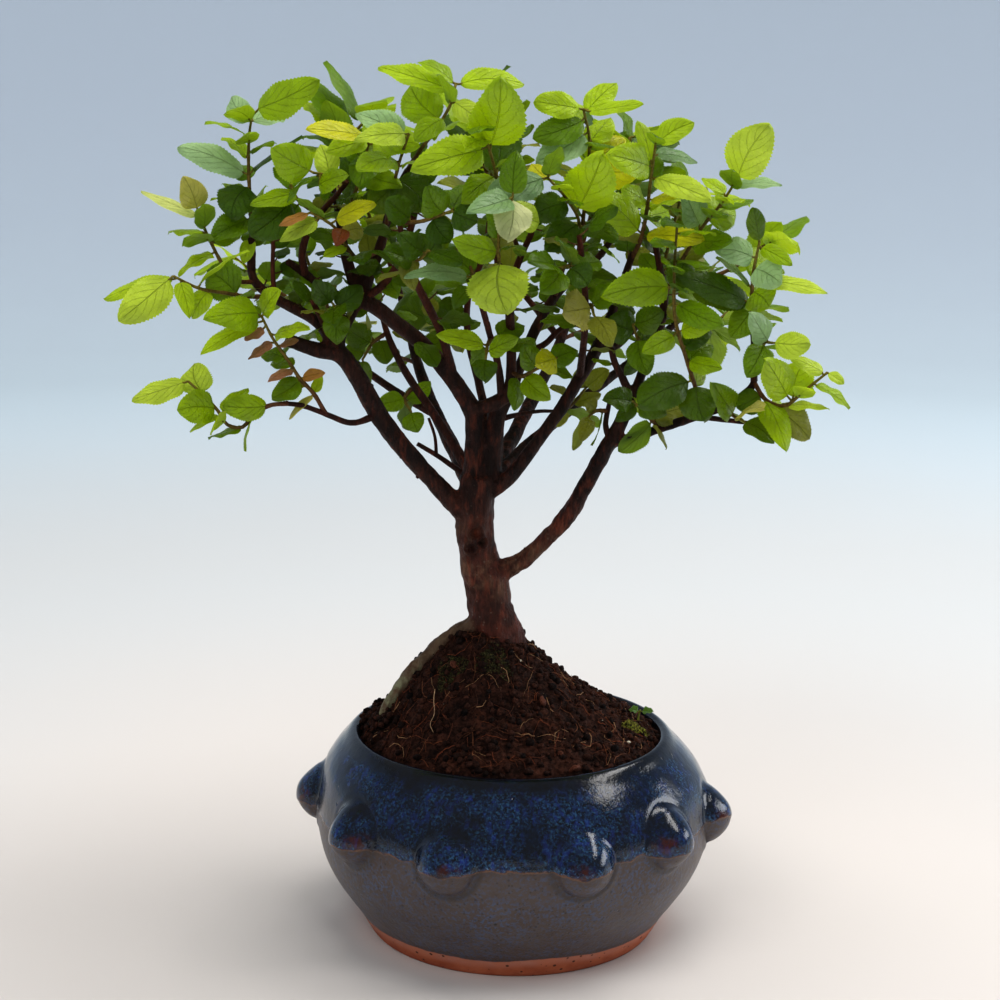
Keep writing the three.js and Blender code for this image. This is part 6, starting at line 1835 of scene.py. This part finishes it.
@dataclass
class Moss:
    """The three moss cushions: many short shoots on the mound, taller towards each cushion's middle."""

    skin: Finish
    tufts: int = 620
    cushions: tuple[Row, ...] = (
        (-78, 91, 5.5, 4.2, 0.62, 0), (-124, 88, 4.6, 4.1, 0.62, 0), (-10, 67.4, 4, 3.5, 1.0, 1),
    )
    shades: tuple[tuple[Colour, ...], ...] = (
        (linear(44, 44, 22), linear(58, 56, 28), linear(34, 28, 18), linear(74, 68, 42), linear(30, 20, 14)),
        (linear(120, 124, 44), linear(96, 98, 36), linear(70, 66, 28), linear(138, 130, 60), linear(44, 30, 18)),
    )

    def build(self, ground: Ground, mound: Callable[[float, float], Points]) -> Piece:
        """Returns the moss's piece, which replaces its nodes.

        Args:
            ground: the mound's surface.
            mound: gives the place on the mound at a turn and a height.
        """
        sculpt = Sculpt()
        draw = random.Random(5)
        for turn, height, wide, deep, tall, shade in self.cushions:
            centre = mound(turn, height)
            for _ in range(self.tufts):
                angle, reach = draw.uniform(0, 6.3), math.sqrt(draw.random())
                edge = 1 + 0.25 * math.sin(angle * 3 + turn)
                found = ground.under(centre[0] + wide * edge * reach * math.cos(angle),
                                     centre[1] + deep * edge * reach * math.sin(angle))
                if found is None:
                    continue
                tone = self.shades[shade][draw.randrange(len(self.shades[shade]))]
                self.tuft(sculpt, *found, tall * (1.3 - 0.7 * reach ** 2), tone, draw)
        piece = sculpt.build("moss_cushions", self.skin)
        settle(piece, "moss_trunk", "moss_slope", "moss_rim")
        return piece

    def tuft(self, sculpt: Sculpt, root: Points, normal: Points, height: float, tone: Colour,
             draw: random.Random) -> None:
        """Adds one moss shoot, a small leaning spike."""
        lean = np.array([draw.uniform(-0.6, 0.6) for _ in range(3)])
        direction = unit(normal + lean)
        line = root + direction * (np.linspace(-0.2, height, 4))[:, None]
        points, faces = tube(line, np.array((0.3, 0.26, 0.18, 0.04)), 5)
        sculpt.add(points, faces, (*tone, draw.random()))


@dataclass
class Seedling:
    """The small plant that grows in the soil near the rim."""

    leaf_skin: Finish
    stem_skin: Finish
    tone: Colour = linear(88, 124, 44)
    stem_tone: Colour = linear(130, 132, 56)

    def build(self, root: Points) -> Piece:
        """Returns the seedling's piece, which replaces its node.

        Args:
            root: where it stands on the mound.
        """
        top = root + np.array((0.6, -0.4, 3.6))
        stem = Spline((root - np.array((0, 0, 1.5)), root + np.array((0.1, 0.1, 1.5)), top)).spaced(12)
        sculpt = Sculpt()
        points, faces = tube(stem, np.linspace(0.45, 0.28, 13), 7)
        sculpt.add(points, faces, (*self.stem_tone, 1), slot=1)
        press = LeafPress(rows=17, columns=7, tooth=0.01, stalk=0.18, stalk_radius=0.2)
        for index, reach in enumerate(((4.2, -1, 0.9), (-3.6, 0.8, 0.7))):
            base = top + (root - top) * 0.15
            blade = blade_between(base, base + np.array(reach), np.array((0, -0.5, 1.0)), 3.7, self.tone)
            press.press(sculpt, blade, 400 + index)
            press.hang(sculpt, blade, stem, self.stem_tone)
        piece = sculpt.build("seedling_plant", self.leaf_skin, self.stem_skin)
        settle(piece, "seedling")
        return piece


@dataclass(frozen=True)
class Lamp:
    """An area lamp: where it hangs and its width and height in metres, its watts, and whether gloss shows it."""

    name: str
    place: Row
    size: Row
    power: float
    tone: Colour
    mirrored: bool

    def hang(self, target: Vector) -> None:
        """Adds the lamp to the scene, facing a point."""
        light = bpy.data.lights.new(self.name, "AREA")
        light.shape = "RECTANGLE"
        light.size, light.size_y = self.size
        light.energy = self.power
        light.color = self.tone
        lamp = stand(self.name, light)
        lamp.location = self.place
        lamp.visible_glossy = self.mirrored
        lamp.rotation_euler = (target - Vector(self.place)).to_track_quat("-Z", "Y").to_euler()


@dataclass
class Studio:
    """The pale floor that curves up all round, the lamps and the camera."""

    # These paper tones go from warm near-white to pale blue away from the tree; besides the paper's tint they paint
    # the light's fall-off and blue cast on the backdrop
    floor_tone: Colour = linear(207, 200, 195)
    middle_tone: Colour = linear(201, 202, 202)
    far_tone: Colour = linear(206, 218, 225)
    wall_tone: Colour = linear(189, 198, 209)
    flat_radius: float = 1.1
    wall_radius: float = 1.9
    wall_height: float = 1.5
    lit_point: Row = (0, 0, 0.14)
    lamps: tuple[Lamp, ...] = (
        Lamp("ceiling", (0.2, 0.1, 1.35), (1.2, 1.2), 16, (1.0, 0.985, 0.955), False),
        Lamp("front", (-0.55, -0.95, 1.15), (0.9, 0.6), 6, (1.0, 0.99, 0.97), False),
        Lamp("window", (1.3, 0.3, 0.5), (0.7, 0.4), 3.5, (0.95, 0.97, 1.0), True),
        Lamp("strip", (0.78, 0.22, 1.0), (0.9, 0.2), 3.2, (1.0, 0.98, 0.95), True),
    )

    def build(self) -> None:
        """Sets up the floor, the lamps, the surroundings and the camera."""
        self.sweep()
        for lamp in self.lamps:
            lamp.hang(Vector(self.lit_point))
        self.surroundings()
        self.camera()
        view = bpy.context.scene.view_settings
        view.view_transform = "Standard"
        view.look = "Medium High Contrast"

    def sweep(self) -> None:
        """Makes the floor, a dish whose rim rises as the backdrop all round; its front wall isn't mirrored."""
        bend = np.linspace(0, math.pi / 2, 14)
        flat = np.array(((0.001, 0), (0.3, 0), (0.7, 0), (self.flat_radius, 0)))
        wall = np.stack((self.flat_radius + (self.wall_radius - self.flat_radius) * np.sin(bend),
                         self.wall_height * (1 - np.cos(bend))), axis=1)
        material = self.paper()
        whole = np.vstack((flat, wall[1:]))
        parts = (("sweep_back", whole, 0, 1, True), ("sweep_floor", flat[:-1], 1, 2, True),
                 ("sweep_front", whole[2:], 1, 2, False))
        for name, outline, first, last, mirrored in parts:
            turns = np.linspace(first * math.pi, last * math.pi, 97)
            grid = np.stack((outline[:, :1] * np.cos(turns), outline[:, :1] * np.sin(turns),
                             np.repeat(outline[:, 1:], len(turns), axis=1)), axis=-1).reshape(-1, 3)
            faces = [face[::-1] for face in ring_faces(len(outline), len(turns), closed=False)]
            sculpt = Sculpt()
            sculpt.add(grid / MM - np.array((0, 0, 0.02)), faces)
            part = sculpt.build(name, material)
            part.visible_glossy = mirrored

    def paper(self) -> Finish:
        """Returns the backdrop's finish, which goes from near white under the tree to pale blue far from it; besides
        the paper's tint, the ramp paints the light's fall-off and blue cast.
        """
        material, graph, shader = start_material("studio_paper")
        across, along, _ = graph.parts(graph.where())
        reach = graph.math("SQRT", graph.math("POWER", across, 2) + graph.math("POWER", along, 2))
        reach = reach + blotches(graph, 0.3, softness=0.4, shift=0.5) * 0.05
        tone = reach.spread(0.15, 0.5).mix(self.floor_tone, self.middle_tone)
        tone = reach.spread(0.5, 1.05).mix(tone, self.far_tone)
        graph.dress(shader, {
            "Base Color": reach.spread(1.05, 1.55).mix(tone, self.wall_tone),
            "Roughness": 0.85,
            "Specular IOR Level": 0.1,
        })
        return material

    def surroundings(self) -> None:
        """Lights the room evenly from above the dish's rim."""
        world = bpy.data.worlds.new("room")
        world.use_nodes = True
        background = world.node_tree.nodes["Background"]
        background.inputs["Color"].default_value = (0.86, 0.93, 1.0, 1)
        background.inputs["Strength"].default_value = 0.3
        bpy.context.scene.world = world

    def camera(self) -> None:
        """Stands the camera where the photograph was taken from."""
        data = bpy.data.cameras.new("viewpoint")
        data.lens = FOCAL_LENGTH
        data.sensor_width = SENSOR_WIDTH
        data.clip_start = 0.01
        camera = stand("viewpoint", data)
        tilt = Matrix.Rotation(math.radians(90 - EYE_PITCH), 4, "X")
        roll = Matrix.Rotation(math.radians(EYE_ROLL), 4, "Z")
        camera.matrix_world = Matrix.Translation(Vector(EYE) * MM) @ tilt @ roll
        bpy.context.scene.camera = camera


def dress_drain_meshes() -> None:
    """Gives the two drain meshes, whose shape stays, their plastic finish."""
    material = PlainMatter("drain_mesh_plastic", 0.55, grain=0.0006, relief=0.00004).material(
        lambda graph: blotches(graph, 0.003, softness=0.2, shift=0.2).mix(linear(28, 30, 28), linear(46, 48, 44)))
    for side in ("left", "right"):
        mesh = bpy.data.objects[f"drain_mesh_{side}"].data
        mesh.materials.clear()
        mesh.materials.append(material)
        LOG.info("drain_mesh_%s: kept, with its own finish", side)


def mound_place(soil: Soil, turn: float, height: float) -> Points:
    """Returns the place on the plain mound at a turn in degrees and a height."""
    radii, heights = zip(*((row[0], row[1]) for row in soil.mound))
    radius = float(np.interp(height, heights, radii))
    shift = soil.apex_x * float(smoothstep(np.array(height), soil.rim_height, soil.shoulder_height))
    angle = math.radians(turn)
    return np.array((shift + radius * math.cos(angle), radius * math.sin(angle), height))


def main() -> None:
    """Builds the studio, the pot, the soil, the wood and the leaves, and logs each piece's faces."""
    logging.basicConfig(level=logging.INFO, format="%(message)s")
    Studio().build()
    Pot(Glaze().material()).build()
    dress_drain_meshes()
    earth = PlainMatter("mound_soil", 0.95, grain=0.0012, relief=0.0007).material()
    loose = PlainMatter("loose_soil", 0.95, grain=0.0007, relief=0.0003).material()
    soil = Soil(earth, loose)
    ground = Ground(soil.build())
    soil.crumbs(ground)
    fibre = PlainMatter("soil_fibre", 0.8, grain=0.0006, relief=0.0002, contrast=0.4).material()
    Litter(fibre).build(ground)
    green = PlainMatter("moss_green", 0.85, grain=0.0008, relief=0.0002, contrast=0.4).material()
    Moss(green).build(ground, lambda turn, height: mound_place(soil, turn, height))
    Wood(Bark().material()).build()
    young = LeafSkin("young_leaf").material()
    mature = LeafSkin("mature_leaf", roughness=0.3).material()
    stem = PlainMatter("shoot_stem", 0.6, grain=0.0007, relief=0.00015, contrast=0.35).material()
    Seedling(young, stem).build(mound_place(soil, 5, 66.6))
    crown = Crown(SHOOTS, young, mature, stem)
    crown.build()
    InnerFoliage(mature, stem, crown.taken).build((*TWIGS, *LIMBS))


if __name__ == "__main__":
    main()
